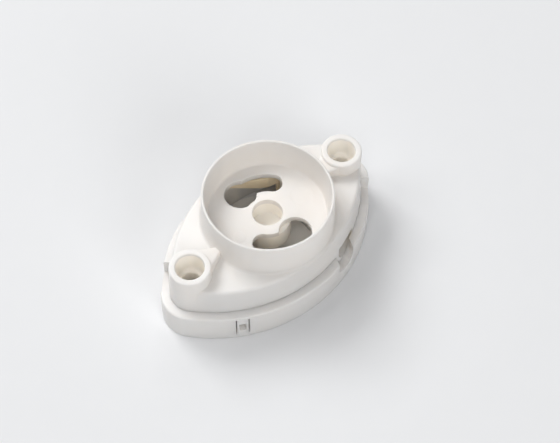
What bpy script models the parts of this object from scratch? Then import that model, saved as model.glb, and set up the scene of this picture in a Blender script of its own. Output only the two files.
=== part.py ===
"""Starter holder for fluorescent tubes: a moulded cup on a two-part, eye-shaped base.

Units are metres and +Z is up. The holder lies on its flat back. The origin is on the back
face, under the middle of the cup, and +X runs along the line of the two fixing holes.
Everything repeats after half a turn about Z. The pieces with _right in their names have
their wire terminal on the +X side, and the ones with _left have it on the -X side.
"""
import math

import bmesh
import bpy
from mathutils import Matrix, Vector

MM = 0.001
FIT = 0.25 * MM                 # clearance between pieces that seat on each other
BITE = 0.3 * MM                 # how far a joined shape or a cutter runs past the face it meets

# Plan outline: two wide arcs that meet two tips, each tip round a fixing hole
FIXING_CENTRES = 38.0 * MM
SHOULDER_MARGIN = 0.6 * MM      # from the cup's wall to the edge of the shoulder, at the sides
TIP_RADIUS = 5.75 * MM

# Base tray
TRAY_HEIGHT = 7.0 * MM
TRAY_WALL = 1.5 * MM
TRAY_FLOOR = 1.8 * MM
TRAY_EDGE = 0.35 * MM           # rounding of the tray's outer edges
TRAY_LEAD_IN = 0.3 * MM         # chamfer on the inner edge of its wall
TRAY_HOLE_RADIUS = 2.0 * MM

# Housing
SKIRT_WALL = 1.3 * MM
SHOULDER_HEIGHT = 13.0 * MM     # top of the flat shoulder round the cup
SHOULDER_PLATE = 1.5 * MM
SHOULDER_EDGE = 0.7 * MM        # rounding of the shoulder's edge
SIDE_DRAFT = 0.45 * MM          # how far the side leans in between tray and shoulder

# Starter cup
CUP_DEPTH = 5.85 * MM
CUP_BORE_RADIUS = 11.15 * MM
CUP_WALL = 1.05 * MM
CUP_FLOOR_RISE = 1.15 * MM      # top of the cup's floor above the shoulder
CUP_FLOOR_PLATE = 1.5 * MM
CUP_DRAFT = 0.25 * MM           # how much wider the cup is at its foot
CUP_FOOT_FILLET = 0.7 * MM
CUP_FLOOR_FILLET = 0.5 * MM
CUP_LIMIT = 0.2 * MM            # how far inside the shoulder's edge the cup's foot is cut off
FILLET_SINK = 0.03 * MM         # how far a turned fillet runs under the face that it meets
POCKET_RADIUS = 2.85 * MM       # blind pocket in the middle of the cup floor
POCKET_DEPTH = 4.2 * MM
HUB_WALL = 0.85 * MM
HUB_BASE = 1.4 * MM

# Keyholes for the two pins of a starter
KEYHOLE_CIRCLE = 6.5 * MM
KEYHOLE_ENTRY_RADIUS = 3.05 * MM
KEYHOLE_SLOT_WIDTH = 3.9 * MM
KEYHOLE_SLOT_SHIFT = 0.2 * MM   # the slot lies outside the pins' circle, to clear the leaf
KEYHOLE_ENTRY_ANGLE = math.radians(99.0)
KEYHOLE_END_ANGLE = math.radians(40.0)

# Fixing bosses
BOSS_RISE = 3.1 * MM            # top of the boss above the shoulder
BOSS_RADIUS = 3.85 * MM
BOSS_DRAFT = 0.1 * MM
BOSS_EDGE = 0.3 * MM
COUNTERBORE_RADIUS = 2.65 * MM
COUNTERBORE_DEPTH = 4.6 * MM
SCREW_HOLE_RADIUS = 1.7 * MM
POST_RADIUS = 3.3 * MM
WEB_TIP = 1.0 * MM              # width of the web where it meets the cup
WEB_SPREAD = math.radians(50.0) # where the web's sides leave the boss
WEB_DROP = 0.4 * MM             # top of the web below the top of the boss

# Wire entries, snap latches and release notches, by angle along the wide arc
WIRE_ANGLE = math.radians(14.5)
WIRE_AIM = math.radians(-24.0)  # the channel turns towards the terminal
WIRE_WIDTH = 3.8 * MM
WIRE_SILL = 3.7 * MM
WIRE_RISE = 0.8 * MM            # how far the channel rises into the housing
LATCH_ANGLE = math.radians(-31.9)
LATCH_FINGER = 2.1 * MM
LATCH_SLIT = 0.45 * MM
LATCH_WINDOW_WIDTH = 1.3 * MM
LATCH_WINDOW_LOW = 2.6 * MM
LATCH_WINDOW_HEIGHT = 2.2 * MM
LATCH_NOSE = 1.0 * MM           # how far the nose reaches into the tray's wall
NOTCH_ANGLE = math.radians(44.7)
NOTCH_LENGTH = 6.3 * MM
NOTCH_SILL = 3.6 * MM

# Spring contacts, bent from brass strip
STRIP = 0.4 * MM
LEAF_ANGLE = math.radians(57.0)
PIN_RADIUS = 2.25 * MM          # head of a starter's pin, less the spring's preload
LEAF_HEIGHT = 3.0 * MM
LEAF_REACH = 5.8 * MM           # from the leaf's middle to its free end
LEAF_KNEE = 1.6 * MM            # from the leaf's middle to where its arm turns outward
ARM_ANGLE = math.radians(18.0)
STEM_DROP = 0.8 * MM            # lower edge of the stem below the guide
BEND_RADIUS = 0.9 * MM
FOOT_LENGTH = 1.7 * MM
RELIEF = 0.4 * MM               # slit beside a folded tab
GUIDE_WALL = 1.0 * MM
GUIDE_LENGTH = 2.2 * MM
GUIDE_HEIGHT = 5.1 * MM
SUPPORT_RADIUS = 1.0 * MM
SUPPORT_TOP_RADIUS = 0.8 * MM
TAB_STRIP = 0.36 * MM           # the tab is coined a little thinner than the strip
FOLD_RADIUS = 0.7 * MM          # bend between the strip and its tab

# Screw terminals
TERMINAL_X = 9.8 * MM
FOOT_GAP = 0.367 * MM           # from the contact's lower corner to the skirt
NUT_WIDTH = 5.5 * MM
NUT_THICKNESS = 1.8 * MM
NUT_CHAMFER = 0.25 * MM
PAD_WALL = 0.9 * MM
PAD_HEIGHT = 2.85 * MM
SHANK_RADIUS = 1.45 * MM
THREAD_CLEARANCE = 0.1 * MM
SHANK_LENGTH = 4.4 * MM
HEAD_RADIUS = 2.7 * MM
HEAD_HEIGHT = 1.9 * MM
HEAD_EDGE = 0.25 * MM
DRIVER_SLOT_WIDTH = 0.7 * MM
DRIVER_SLOT_DEPTH = 0.9 * MM
DRIVER_SLOT_TURN = math.radians(35.0)
CLAMP_WIDTH = 5.8 * MM
CLAMP_THICKNESS = 0.7 * MM
CLAMP_LIP = 0.6 * MM
CLAMP_HOLE_RADIUS = 1.65 * MM

# Facets
ARC_STEPS = 36
TIP_STEPS = 12
CUP_SEGMENTS = 96
BOSS_SEGMENTS = 48
CHAMFER_STEPS = 1
SMALL_SEGMENTS = 32
BEND_STEPS = 5
EDGE_STEPS = 4
SMALL_EDGE_STEPS = 3
SMOOTH_ANGLE = math.radians(35.0)
MERGE = 0.01 * MM

# Values worked out from the sizes above
HALF_CENTRES = FIXING_CENTRES / 2
SKIRT_INSET = TRAY_WALL + FIT
SHOULDER_INSET = SKIRT_INSET + SIDE_DRAFT
CAVITY_INSET = SKIRT_INSET + SKIRT_WALL
CUP_RADIUS = CUP_BORE_RADIUS + CUP_WALL
HALF_WIDTH = CUP_RADIUS + SHOULDER_MARGIN + SHOULDER_INSET
ARC_RADIUS = (
    HALF_CENTRES ** 2 + HALF_WIDTH ** 2 - TIP_RADIUS ** 2
) / (2 * (HALF_WIDTH - TIP_RADIUS))
ARC_SETBACK = ARC_RADIUS - HALF_WIDTH
TANGENT_ANGLE = math.atan2(HALF_CENTRES, ARC_SETBACK)
SKIRT_LOW = TRAY_FLOOR + FIT
CUP_LIMIT_INSET = SHOULDER_INSET + CUP_LIMIT
CEILING = SHOULDER_HEIGHT - SHOULDER_PLATE
CUP_FLOOR_HEIGHT = SHOULDER_HEIGHT + CUP_FLOOR_RISE
CUP_HEIGHT = CUP_FLOOR_HEIGHT + CUP_DEPTH
CUP_CEILING = CUP_FLOOR_HEIGHT - CUP_FLOOR_PLATE
BOSS_HEIGHT = SHOULDER_HEIGHT + BOSS_RISE
GUIDE_LOW = CEILING - GUIDE_HEIGHT
STEM_LOW = GUIDE_LOW - STEM_DROP
STRIP_TOP = CUP_CEILING - FIT
LEAF_LOW = STRIP_TOP - LEAF_HEIGHT
SLOT_CIRCLE = KEYHOLE_CIRCLE + KEYHOLE_SLOT_SHIFT
LEAF_OFFSET = KEYHOLE_CIRCLE + PIN_RADIUS
PAD_LOW = CEILING - PAD_HEIGHT
ROOT_TOP = (max(CEILING, CUP_CEILING) + min(SHOULDER_HEIGHT, CUP_FLOOR_HEIGHT)) / 2
LEAF_MIDDLE = LEAF_OFFSET + STRIP / 2
LEAF_NORMAL = Vector((math.cos(LEAF_ANGLE), math.sin(LEAF_ANGLE)))
LEAF_ALONG = Vector((math.sin(LEAF_ANGLE), -math.cos(LEAF_ANGLE)))
ARM_TURN = LEAF_ANGLE - math.pi / 2 + ARM_ANGLE
ARM_ALONG = Vector((math.cos(ARM_TURN), math.sin(ARM_TURN)))
KNEE = LEAF_NORMAL * LEAF_MIDDLE + LEAF_ALONG * LEAF_KNEE
NUT_POCKET = NUT_WIDTH + 2 * FIT
PAD_HALF = NUT_POCKET / 2 + PAD_WALL
BAND_X = TERMINAL_X + PAD_HALF + FIT + STRIP / 2
BAND_CORNER_Y = KNEE.y + (BAND_X - KNEE.x) * math.tan(ARM_TURN)
TAB_TOP = PAD_LOW - FIT
TAB_LOW = TAB_TOP - TAB_STRIP
TAB_HALF = CLAMP_WIDTH / 2 - FIT
FOLD_TOP = TAB_TOP + BEND_RADIUS / 2
FOLD_REACH = 2 * (BAND_X - TERMINAL_X - TAB_HALF + BEND_RADIUS)
WALL_Y = math.sqrt((ARC_RADIUS - CAVITY_INSET) ** 2 - BAND_X ** 2) - ARC_SETBACK
FOOT_Y = FOOT_GAP + BEND_RADIUS - WALL_Y
TERMINAL_Y = FOOT_Y + TAB_HALF + RELIEF
CLAMP_TOP = TAB_LOW - FIT
HEAD_TOP = CLAMP_TOP - CLAMP_THICKNESS - FIT
NUT_BORE_RADIUS = SHANK_RADIUS + THREAD_CLEARANCE

WHITE = (0.80, 0.78, 0.74, 1.0)
BRASS = (0.60, 0.42, 0.16, 1.0)
STEEL = (0.56, 0.55, 0.52, 1.0)


def clear_scene():
    """Remove whatever the file opened with."""
    for item in list(bpy.data.objects):
        bpy.data.objects.remove(item, do_unlink=True)


def new_collection(name):
    """Add an empty collection to the scene."""
    made = bpy.data.collections.new(name)
    bpy.context.scene.collection.children.link(made)
    return made


clear_scene()
PARTS = new_collection("starter_holder")
CUTTERS = new_collection("construction")


def material(name, colour, roughness, metallic):
    """Make a plain Principled material."""
    made = bpy.data.materials.new(name)
    made.use_nodes = True
    shader = made.node_tree.nodes["Principled BSDF"]
    shader.inputs["Base Color"].default_value = colour
    shader.inputs["Roughness"].default_value = roughness
    shader.inputs["Metallic"].default_value = metallic
    made.diffuse_color = colour
    return made


def finish_mesh(name, bm):
    """Turn a bmesh into a mesh whose faces point out, with its round sides smooth."""
    bmesh.ops.recalc_face_normals(bm, faces=bm.faces)
    mesh = bpy.data.meshes.new(name)
    bm.to_mesh(mesh)
    bm.free()
    mesh.shade_smooth()
    mesh.set_sharp_from_angle(angle=SMOOTH_ANGLE)
    return mesh


def part(name, mesh, finish):
    """Add a named piece of the holder."""
    made = bpy.data.objects.new(name, mesh)
    made.data.materials.append(finish)
    PARTS.objects.link(made)
    return made


def helper(name, bm):
    """Add a construction shape that is joined to a piece or cut from it."""
    made = bpy.data.objects.new(name, finish_mesh(name, bm))
    made.hide_render = True
    made.display_type = "WIRE"
    CUTTERS.objects.link(made)
    return made


def combine(target, other, operation):
    """Join, cut or intersect a piece with a construction shape."""
    step = target.modifiers.new(f"{operation.lower()}_{other.name}", "BOOLEAN")
    step.operation = operation
    step.object = other


def repeat_half_turn(bm):
    """Copy a shape to the other end of the holder."""
    geometry = bm.verts[:] + bm.edges[:] + bm.faces[:]
    copied = bmesh.ops.duplicate(bm, geom=geometry)["geom"]
    verts = [item for item in copied if isinstance(item, bmesh.types.BMVert)]
    bmesh.ops.rotate(bm, verts=verts, cent=(0, 0, 0), matrix=Matrix.Rotation(math.pi, 3, "Z"))
    return bm


def eye_outline(inset):
    """Plan outline of the holder, drawn in from the tray's outer face by inset."""
    wide = ARC_RADIUS - inset
    tip = TIP_RADIUS - inset
    points = []
    for side in (1, -1):
        for step in range(ARC_STEPS):
            angle = TANGENT_ANGLE * (1 - 2 * step / ARC_STEPS)
            x = wide * math.sin(angle)
            y = wide * math.cos(angle) - ARC_SETBACK
            points.append((side * x, side * y))
        for step in range(TIP_STEPS):
            turn = math.pi - 2 * TANGENT_ANGLE
            angle = math.pi / 2 + TANGENT_ANGLE + turn * step / TIP_STEPS
            x = -HALF_CENTRES + tip * math.cos(angle)
            y = tip * math.sin(angle)
            points.append((side * x, side * y))
    return points


def eye_loft(levels):
    """Solid through eye outlines, given as pairs of height and inset from the bottom up."""
    bm = bmesh.new()
    loops = []
    for height, inset in levels:
        loops.append([bm.verts.new((x, y, height)) for x, y in eye_outline(inset)])
    for low, high in zip(loops, loops[1:]):
        for index in range(len(low)):
            following = (index + 1) % len(low)
            bm.faces.new((low[index], low[following], high[following], high[index]))
    bm.faces.new(loops[0])
    bm.faces.new(loops[-1])
    return bm


def rounded_levels(height, inset, radius, rising):
    """Levels of a rounded edge that ends at height, whose side stands at inset."""
    levels = []
    for step in range(EDGE_STEPS + 1):
        angle = math.pi / 2 * step / EDGE_STEPS
        if not rising:
            angle = math.pi / 2 - angle
        drop = radius * (1 - math.sin(angle))
        lean = radius * (1 - math.cos(angle))
        level = height - drop if rising else height + drop
        levels.append((level, inset + lean))
    return levels


def rod(radius, low, high, x=0.0, y=0.0, top_radius=None, segments=SMALL_SEGMENTS):
    """Upright cylinder or cone."""
    bm = bmesh.new()
    upper = radius if top_radius is None else top_radius
    place = Matrix.Translation((x, y, (low + high) / 2))
    bmesh.ops.create_cone(
        bm, cap_ends=True, segments=segments, radius1=radius, radius2=upper,
        depth=high - low, matrix=place)
    return bm


def block(size, centre, turn=0.0):
    """Box of a given size, turned about its own upright axis."""
    bm = bmesh.new()
    bmesh.ops.create_cube(bm, size=1.0)
    bmesh.ops.scale(bm, vec=size, verts=bm.verts)
    place = Matrix.Translation(centre) @ Matrix.Rotation(turn, 4, "Z")
    bmesh.ops.transform(bm, matrix=place, verts=bm.verts)
    return bm


def plate(outline, low, high):
    """Upright solid on a flat outline."""
    bm = bmesh.new()
    face = bm.faces.new([bm.verts.new((x, y, low)) for x, y in outline])
    raised = bmesh.ops.extrude_face_region(bm, geom=[face])["geom"]
    verts = [item for item in raised if isinstance(item, bmesh.types.BMVert)]
    bmesh.ops.translate(bm, vec=(0, 0, high - low), verts=verts)
    return bm


def turned_ring(name, profile, segments):
    """Construction ring turned about Z. Its closed profile runs down the outer side first."""
    bm = bmesh.new()
    verts = [bm.verts.new((radius, 0, height)) for radius, height in profile]
    for first, second in zip(verts, verts[1:] + verts[:1]):
        bm.edges.new((first, second))
    mesh = bpy.data.meshes.new(name)
    bm.to_mesh(mesh)
    bm.free()
    made = bpy.data.objects.new(name, mesh)
    made.hide_render = True
    made.display_type = "WIRE"
    CUTTERS.objects.link(made)
    spin = made.modifiers.new("spin", "SCREW")
    spin.steps = segments
    spin.render_steps = segments
    spin.use_merge_vertices = True
    spin.merge_threshold = MERGE
    spin.use_normal_calculate = True
    spin.use_smooth_shade = True
    return made


def quarter(centre_radius, centre_height, radius, first, last):
    """Profile points round a corner, between two angles in degrees."""
    points = []
    for step in range(EDGE_STEPS + 1):
        angle = math.radians(first + (last - first) * step / EDGE_STEPS)
        points.append((
            centre_radius + radius * math.cos(angle),
            centre_height + radius * math.sin(angle)))
    return points


def on_arc(angle, inset):
    """Point on the wide arc of the -Y side, at an angle from its middle towards +X."""
    reach = ARC_RADIUS - inset
    return Vector((reach * math.sin(angle), ARC_SETBACK - reach * math.cos(angle)))


def housing():
    """One moulding: cup, floor with keyholes, shoulder, skirt, bosses and inner supports."""
    levels = [(SKIRT_LOW, SKIRT_INSET), (TRAY_HEIGHT, SKIRT_INSET)]
    levels += rounded_levels(SHOULDER_HEIGHT, SHOULDER_INSET, SHOULDER_EDGE, True)
    made = part("housing", finish_mesh("housing", eye_loft(levels)), PLASTIC_HOUSING)

    combine(made, cup(), "UNION")
    combine(made, bosses(), "UNION")
    combine(made, webs(), "UNION")
    cavity = [(SKIRT_LOW - BITE, CAVITY_INSET), (CEILING, CAVITY_INSET)]
    combine(made, helper("wiring_space", eye_loft(cavity)), "DIFFERENCE")
    under_cup = rod(CUP_BORE_RADIUS, CEILING - BITE, CUP_CEILING, segments=CUP_SEGMENTS)
    combine(made, helper("space_under_cup", under_cup), "DIFFERENCE")

    combine(made, helper("posts", posts()), "UNION")
    hub_low = CUP_FLOOR_HEIGHT - POCKET_DEPTH - HUB_BASE
    hub = rod(POCKET_RADIUS + HUB_WALL, hub_low, CUP_CEILING + BITE, segments=BOSS_SEGMENTS)
    combine(made, helper("hub", hub), "UNION")
    combine(made, helper("nut_pads", nut_pads()), "UNION")
    combine(made, helper("contact_guides", contact_guides()), "UNION")
    combine(made, helper("latch_noses", latch_noses()), "UNION")

    combine(made, helper("keyholes", keyholes()), "DIFFERENCE")
    pocket = rod(
        POCKET_RADIUS, CUP_FLOOR_HEIGHT - POCKET_DEPTH, CUP_FLOOR_HEIGHT + BITE,
        segments=BOSS_SEGMENTS)
    combine(made, helper("pocket", pocket), "DIFFERENCE")
    combine(made, helper("counterbores", counterbores()), "DIFFERENCE")
    combine(made, helper("screw_holes", screw_holes()), "DIFFERENCE")
    combine(made, helper("nut_pockets", nut_pockets()), "DIFFERENCE")
    combine(made, helper("screw_tip_holes", screw_tip_holes()), "DIFFERENCE")
    combine(made, helper("guide_slots", guide_slots()), "DIFFERENCE")
    wires = wire_channels("housing_wire_channels", TRAY_HEIGHT + WIRE_RISE)
    combine(made, wires, "DIFFERENCE")
    return made


def cup():
    """The cup: its floor, its wall with a rounded lip, and a fillet at its foot."""
    lip = CUP_WALL / 2
    middle = CUP_BORE_RADIUS + lip
    low = SHOULDER_HEIGHT - BITE
    foot = CUP_RADIUS + CUP_DRAFT + CUP_FOOT_FILLET
    profile = quarter(middle, CUP_HEIGHT - lip, lip, 90, 0)
    profile += quarter(
        foot, SHOULDER_HEIGHT + CUP_FOOT_FILLET - FILLET_SINK, CUP_FOOT_FILLET, 180, 270)
    floor_radius = CUP_BORE_RADIUS - CUP_FLOOR_FILLET
    profile += [(foot, low), (floor_radius, low)]
    profile += quarter(
        floor_radius, CUP_FLOOR_HEIGHT + CUP_FLOOR_FILLET - FILLET_SINK,
        CUP_FLOOR_FILLET, -90, 0)
    profile += quarter(middle, CUP_HEIGHT - lip, lip, 180, 90)[:-1]
    made = turned_ring("cup", profile, CUP_SEGMENTS)
    floor = rod(
        CUP_BORE_RADIUS + lip, low - BITE / 2, CUP_FLOOR_HEIGHT, segments=CUP_SEGMENTS)
    combine(made, helper("cup_floor", floor), "UNION")
    limit = eye_loft([(low - BITE, CUP_LIMIT_INSET), (CUP_HEIGHT + BITE, CUP_LIMIT_INSET)])
    combine(made, helper("cup_limit", limit), "INTERSECT")
    return made


def bosses():
    """The two round bosses that take the fixing screws."""
    low = TRAY_HEIGHT + 2 * BOSS_DRAFT + FIT
    bm = rod(
        BOSS_RADIUS + BOSS_DRAFT, low, BOSS_HEIGHT, HALF_CENTRES, 0.0,
        top_radius=BOSS_RADIUS, segments=BOSS_SEGMENTS)
    top = [edge for edge in bm.edges if min(vert.co.z for vert in edge.verts) > BOSS_HEIGHT - FIT]
    bmesh.ops.bevel(bm, geom=top, offset=BOSS_EDGE, segments=SMALL_EDGE_STEPS, affect="EDGES")
    return helper("bosses", repeat_half_turn(bm))


def webs():
    """The short bridge that narrows from each boss to the cup."""
    inner = CUP_RADIUS - BITE
    outer = HALF_CENTRES - (BOSS_RADIUS - BITE) * math.cos(WEB_SPREAD)
    low = SHOULDER_HEIGHT - BITE
    high = BOSS_HEIGHT - WEB_DROP
    width = 2 * (BOSS_RADIUS - BITE) * math.sin(WEB_SPREAD)
    bm = block((outer - inner, width, high - low), ((inner + outer) / 2, 0, (low + high) / 2))
    for vert in bm.verts:
        if vert.co.x < (inner + outer) / 2:
            vert.co.y *= WEB_TIP / width
    upper = [edge for edge in bm.edges if min(vert.co.z for vert in edge.verts) > high - FIT]
    bmesh.ops.bevel(bm, geom=upper, offset=BOSS_EDGE, segments=SMALL_EDGE_STEPS, affect="EDGES")
    return helper("webs", repeat_half_turn(bm))


def posts():
    """Columns under the bosses that stand on the tray's floor."""
    return repeat_half_turn(rod(
        POST_RADIUS, SKIRT_LOW, CEILING + BITE, HALF_CENTRES, 0.0, segments=BOSS_SEGMENTS))


def counterbores():
    """Wide upper part of each fixing hole."""
    return repeat_half_turn(rod(
        COUNTERBORE_RADIUS, BOSS_HEIGHT - COUNTERBORE_DEPTH, BOSS_HEIGHT + BITE,
        HALF_CENTRES, 0.0, segments=BOSS_SEGMENTS))


def screw_holes():
    """Narrow lower part of each fixing hole."""
    return repeat_half_turn(rod(
        SCREW_HOLE_RADIUS, SKIRT_LOW - BITE, BOSS_HEIGHT - COUNTERBORE_DEPTH + BITE,
        HALF_CENTRES, 0.0))


def keyhole_outline():
    """Round entry that runs clockwise into a narrow slot on the pin circle."""
    half = KEYHOLE_SLOT_WIDTH / 2
    outer = SLOT_CIRCLE + half
    inner = SLOT_CIRCLE - half
    steps = SMALL_SEGMENTS // 2
    points = []
    for step in range(steps + 1):
        angle = KEYHOLE_ENTRY_ANGLE + (KEYHOLE_END_ANGLE - KEYHOLE_ENTRY_ANGLE) * step / steps
        points.append((outer * math.cos(angle), outer * math.sin(angle)))
    end = Vector((math.cos(KEYHOLE_END_ANGLE), math.sin(KEYHOLE_END_ANGLE))) * SLOT_CIRCLE
    for step in range(1, steps):
        angle = KEYHOLE_END_ANGLE - math.pi * step / steps
        points.append((end.x + half * math.cos(angle), end.y + half * math.sin(angle)))
    for step in range(steps + 1):
        angle = KEYHOLE_END_ANGLE + (KEYHOLE_ENTRY_ANGLE - KEYHOLE_END_ANGLE) * step / steps
        points.append((inner * math.cos(angle), inner * math.sin(angle)))
    return points


def keyholes():
    """Both keyholes, cut through the cup's floor."""
    low = CUP_CEILING - BITE
    high = CUP_FLOOR_HEIGHT + BITE
    x = KEYHOLE_CIRCLE * math.cos(KEYHOLE_ENTRY_ANGLE)
    y = KEYHOLE_CIRCLE * math.sin(KEYHOLE_ENTRY_ANGLE)
    slot = helper("keyhole_slot", plate(keyhole_outline(), low, high))
    entry = helper("keyhole_entry", rod(KEYHOLE_ENTRY_RADIUS, low, high, x, y))
    combine(slot, entry, "UNION")
    return repeat_half_turn(evaluated(slot))


def evaluated(item):
    """Bmesh of an object with its modifiers applied."""
    bpy.context.view_layer.update()
    graph = bpy.context.evaluated_depsgraph_get()
    bm = bmesh.new()
    bm.from_object(item, graph)
    return bm


def nut_pads():
    """Blocks under the shoulder that hold the terminal nuts."""
    width = 2 * PAD_HALF
    centre = (TERMINAL_X, TERMINAL_Y, (PAD_LOW + ROOT_TOP) / 2)
    return repeat_half_turn(block((width, width, ROOT_TOP - PAD_LOW), centre))


def nut_pockets():
    """Square pockets that keep the nuts from turning."""
    low = PAD_LOW - BITE
    high = PAD_LOW + NUT_THICKNESS + FIT
    centre = (TERMINAL_X, TERMINAL_Y, (low + high) / 2)
    return repeat_half_turn(block((NUT_POCKET, NUT_POCKET, high - low), centre))


def screw_tip_holes():
    """Blind holes above the nuts for the ends of the terminal screws."""
    low = PAD_LOW + NUT_THICKNESS
    high = HEAD_TOP + SHANK_LENGTH + FIT
    return repeat_half_turn(rod(NUT_BORE_RADIUS + FIT, low, high, TERMINAL_X, TERMINAL_Y))


def on_arm(radius):
    """Point of the contact's arm at a distance from the cup's axis."""
    nearest = KNEE.dot(ARM_ALONG)
    return KNEE + ARM_ALONG * (
        math.sqrt(nearest ** 2 - KNEE.length_squared + radius ** 2) - nearest)


def contact_guides():
    """Slotted blocks under the shoulder that hold the contacts."""
    centre = on_arm(CUP_BORE_RADIUS)
    across = STRIP + 2 * FIT + 2 * GUIDE_WALL
    size = (GUIDE_LENGTH, across, ROOT_TOP - GUIDE_LOW)
    place = (centre.x, centre.y, (ROOT_TOP + GUIDE_LOW) / 2)
    return repeat_half_turn(block(size, place, ARM_TURN))


def guide_slots():
    """Slots in the guides, cut a little into the shoulder's underside."""
    centre = on_arm(CUP_BORE_RADIUS)
    low = GUIDE_LOW - BITE
    high = CEILING + BITE / 2
    size = (GUIDE_LENGTH + 2 * BITE, STRIP + 2 * FIT, high - low)
    return repeat_half_turn(block(size, (centre.x, centre.y, (low + high) / 2), ARM_TURN))


def latch_noses():
    """Noses on the skirt that snap into the windows of the tray, sloped on the lower side."""
    width = LATCH_WINDOW_WIDTH - 2 * FIT
    low = LATCH_WINDOW_LOW + FIT
    high = LATCH_WINDOW_LOW + LATCH_WINDOW_HEIGHT - FIT
    reach = LATCH_NOSE + FIT
    depth = reach + BITE
    bm = block((width, depth, high - low), (0, 0, (low + high) / 2))
    for vert in bm.verts:
        if vert.co.y < 0 and vert.co.z < (low + high) / 2:
            vert.co.y += reach
    middle = on_arc(LATCH_ANGLE, SKIRT_INSET - reach + depth / 2)
    place = Matrix.Translation((middle.x, middle.y, 0)) @ Matrix.Rotation(LATCH_ANGLE, 4, "Z")
    bmesh.ops.transform(bm, matrix=place, verts=bm.verts)
    return repeat_half_turn(bm)


def wire_channels(name, top):
    """Channels with a round bottom that let a wire in through the wall."""
    half = WIRE_WIDTH / 2
    corners = SMALL_SEGMENTS // 2
    outline = [(-half, top), (half, top)]
    for step in range(corners + 1):
        angle = math.pi * step / corners
        outline.append((half * math.cos(angle), WIRE_SILL + half - half * math.sin(angle)))
    length = 2 * (CAVITY_INSET + BITE) + WIRE_WIDTH
    bm = bmesh.new()
    face = bm.faces.new([bm.verts.new((x, -length / 2, z)) for x, z in outline])
    swept = bmesh.ops.extrude_face_region(bm, geom=[face])["geom"]
    verts = [item for item in swept if isinstance(item, bmesh.types.BMVert)]
    bmesh.ops.translate(bm, vec=(0, length, 0), verts=verts)
    middle = on_arc(WIRE_ANGLE, CAVITY_INSET / 2)
    place = Matrix.Translation((middle.x, middle.y, 0)) @ Matrix.Rotation(WIRE_AIM, 4, "Z")
    bmesh.ops.transform(bm, matrix=place, verts=bm.verts)
    return helper(name, repeat_half_turn(bm))


def base_tray():
    """One moulding: the snap-on back with its wall, latches, notches and inner supports."""
    levels = rounded_levels(0.0, 0.0, TRAY_EDGE, False)
    levels += rounded_levels(TRAY_HEIGHT, 0.0, TRAY_EDGE, True)
    made = part("base_tray", finish_mesh("base_tray", eye_loft(levels)), PLASTIC_TRAY)
    inside = [
        (TRAY_FLOOR, TRAY_WALL),
        (TRAY_HEIGHT - TRAY_LEAD_IN, TRAY_WALL),
        (TRAY_HEIGHT + BITE, TRAY_WALL - TRAY_LEAD_IN - BITE)]
    combine(made, helper("tray_inside", eye_loft(inside)), "DIFFERENCE")
    combine(made, helper("contact_supports", contact_supports()), "UNION")
    holes = repeat_half_turn(rod(TRAY_HOLE_RADIUS, -BITE, TRAY_FLOOR + BITE, HALF_CENTRES, 0.0))
    combine(made, helper("tray_holes", holes), "DIFFERENCE")
    combine(made, wire_channels("tray_wire_channels", TRAY_HEIGHT + BITE), "DIFFERENCE")
    combine(made, helper("latch_slits", latch_slits()), "DIFFERENCE")
    combine(made, helper("latch_windows", latch_windows()), "DIFFERENCE")
    combine(made, helper("release_notches", release_notches()), "DIFFERENCE")
    return made


def contact_supports():
    """Pegs on the tray's floor that keep the contacts up in their guides."""
    centre = on_arm(CUP_BORE_RADIUS)
    return repeat_half_turn(rod(
        SUPPORT_RADIUS, TRAY_FLOOR - BITE, STEM_LOW - FIT, centre.x, centre.y,
        top_radius=SUPPORT_TOP_RADIUS))


def wall_cutter(width, low, high, angle, sideways=0.0):
    """Box through the tray's wall, at an angle along the wide arc."""
    depth = TRAY_WALL + 2 * BITE
    middle = on_arc(angle, TRAY_WALL / 2)
    middle += Vector((math.cos(angle), math.sin(angle))) * sideways
    return block((width, depth, high - low), (middle.x, middle.y, (low + high) / 2), angle)


def latch_slits():
    """Two slits that free a springy finger of the wall at each latch."""
    bm = bmesh.new()
    for side in (-1, 1):
        offset = side * (LATCH_FINGER + LATCH_SLIT) / 2
        one = wall_cutter(
            LATCH_SLIT, TRAY_FLOOR + FIT, TRAY_HEIGHT + BITE, LATCH_ANGLE, offset)
        mesh = bpy.data.meshes.new("slit")
        one.to_mesh(mesh)
        one.free()
        bm.from_mesh(mesh)
        bpy.data.meshes.remove(mesh)
    return repeat_half_turn(bm)


def latch_windows():
    """Windows in the fingers that the noses of the skirt snap into."""
    high = LATCH_WINDOW_LOW + LATCH_WINDOW_HEIGHT
    return repeat_half_turn(wall_cutter(
        LATCH_WINDOW_WIDTH, LATCH_WINDOW_LOW, high, LATCH_ANGLE))


def release_notches():
    """Openings in the wall beside the bosses, where a blade lifts the tray off."""
    return repeat_half_turn(wall_cutter(
        NOTCH_LENGTH, NOTCH_SILL, TRAY_HEIGHT + BITE, NOTCH_ANGLE))


def rounded_path(corners, radius):
    """Path through corners, with an arc of one radius at each inner corner."""
    points = [corners[0]]
    for before, corner, after in zip(corners, corners[1:], corners[2:]):
        incoming = (corner - before).normalized()
        outgoing = (after - corner).normalized()
        turn = incoming.angle_signed(outgoing)
        setback = radius * math.tan(abs(turn) / 2)
        start = corner - incoming * setback
        side = Vector((-incoming.y, incoming.x)) * (-1 if turn > 0 else 1)
        centre = start + side * radius
        spoke = start - centre
        for step in range(BEND_STEPS + 1):
            angle = -turn * step / BEND_STEPS
            points.append(centre + Matrix.Rotation(angle, 2) @ spoke)
    points.append(corners[-1])
    return points


def ribbon(name, points, place):
    """Open strip: each point of a path gives two corners, and place sets both of them."""
    bm = bmesh.new()
    pairs = []
    for point in points:
        low, high = place(point)
        pairs.append((bm.verts.new(low), bm.verts.new(high)))
    for first, second in zip(pairs, pairs[1:]):
        bm.faces.new((first[0], second[0], second[1], first[1]))
    return finish_mesh(name, bm)


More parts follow.
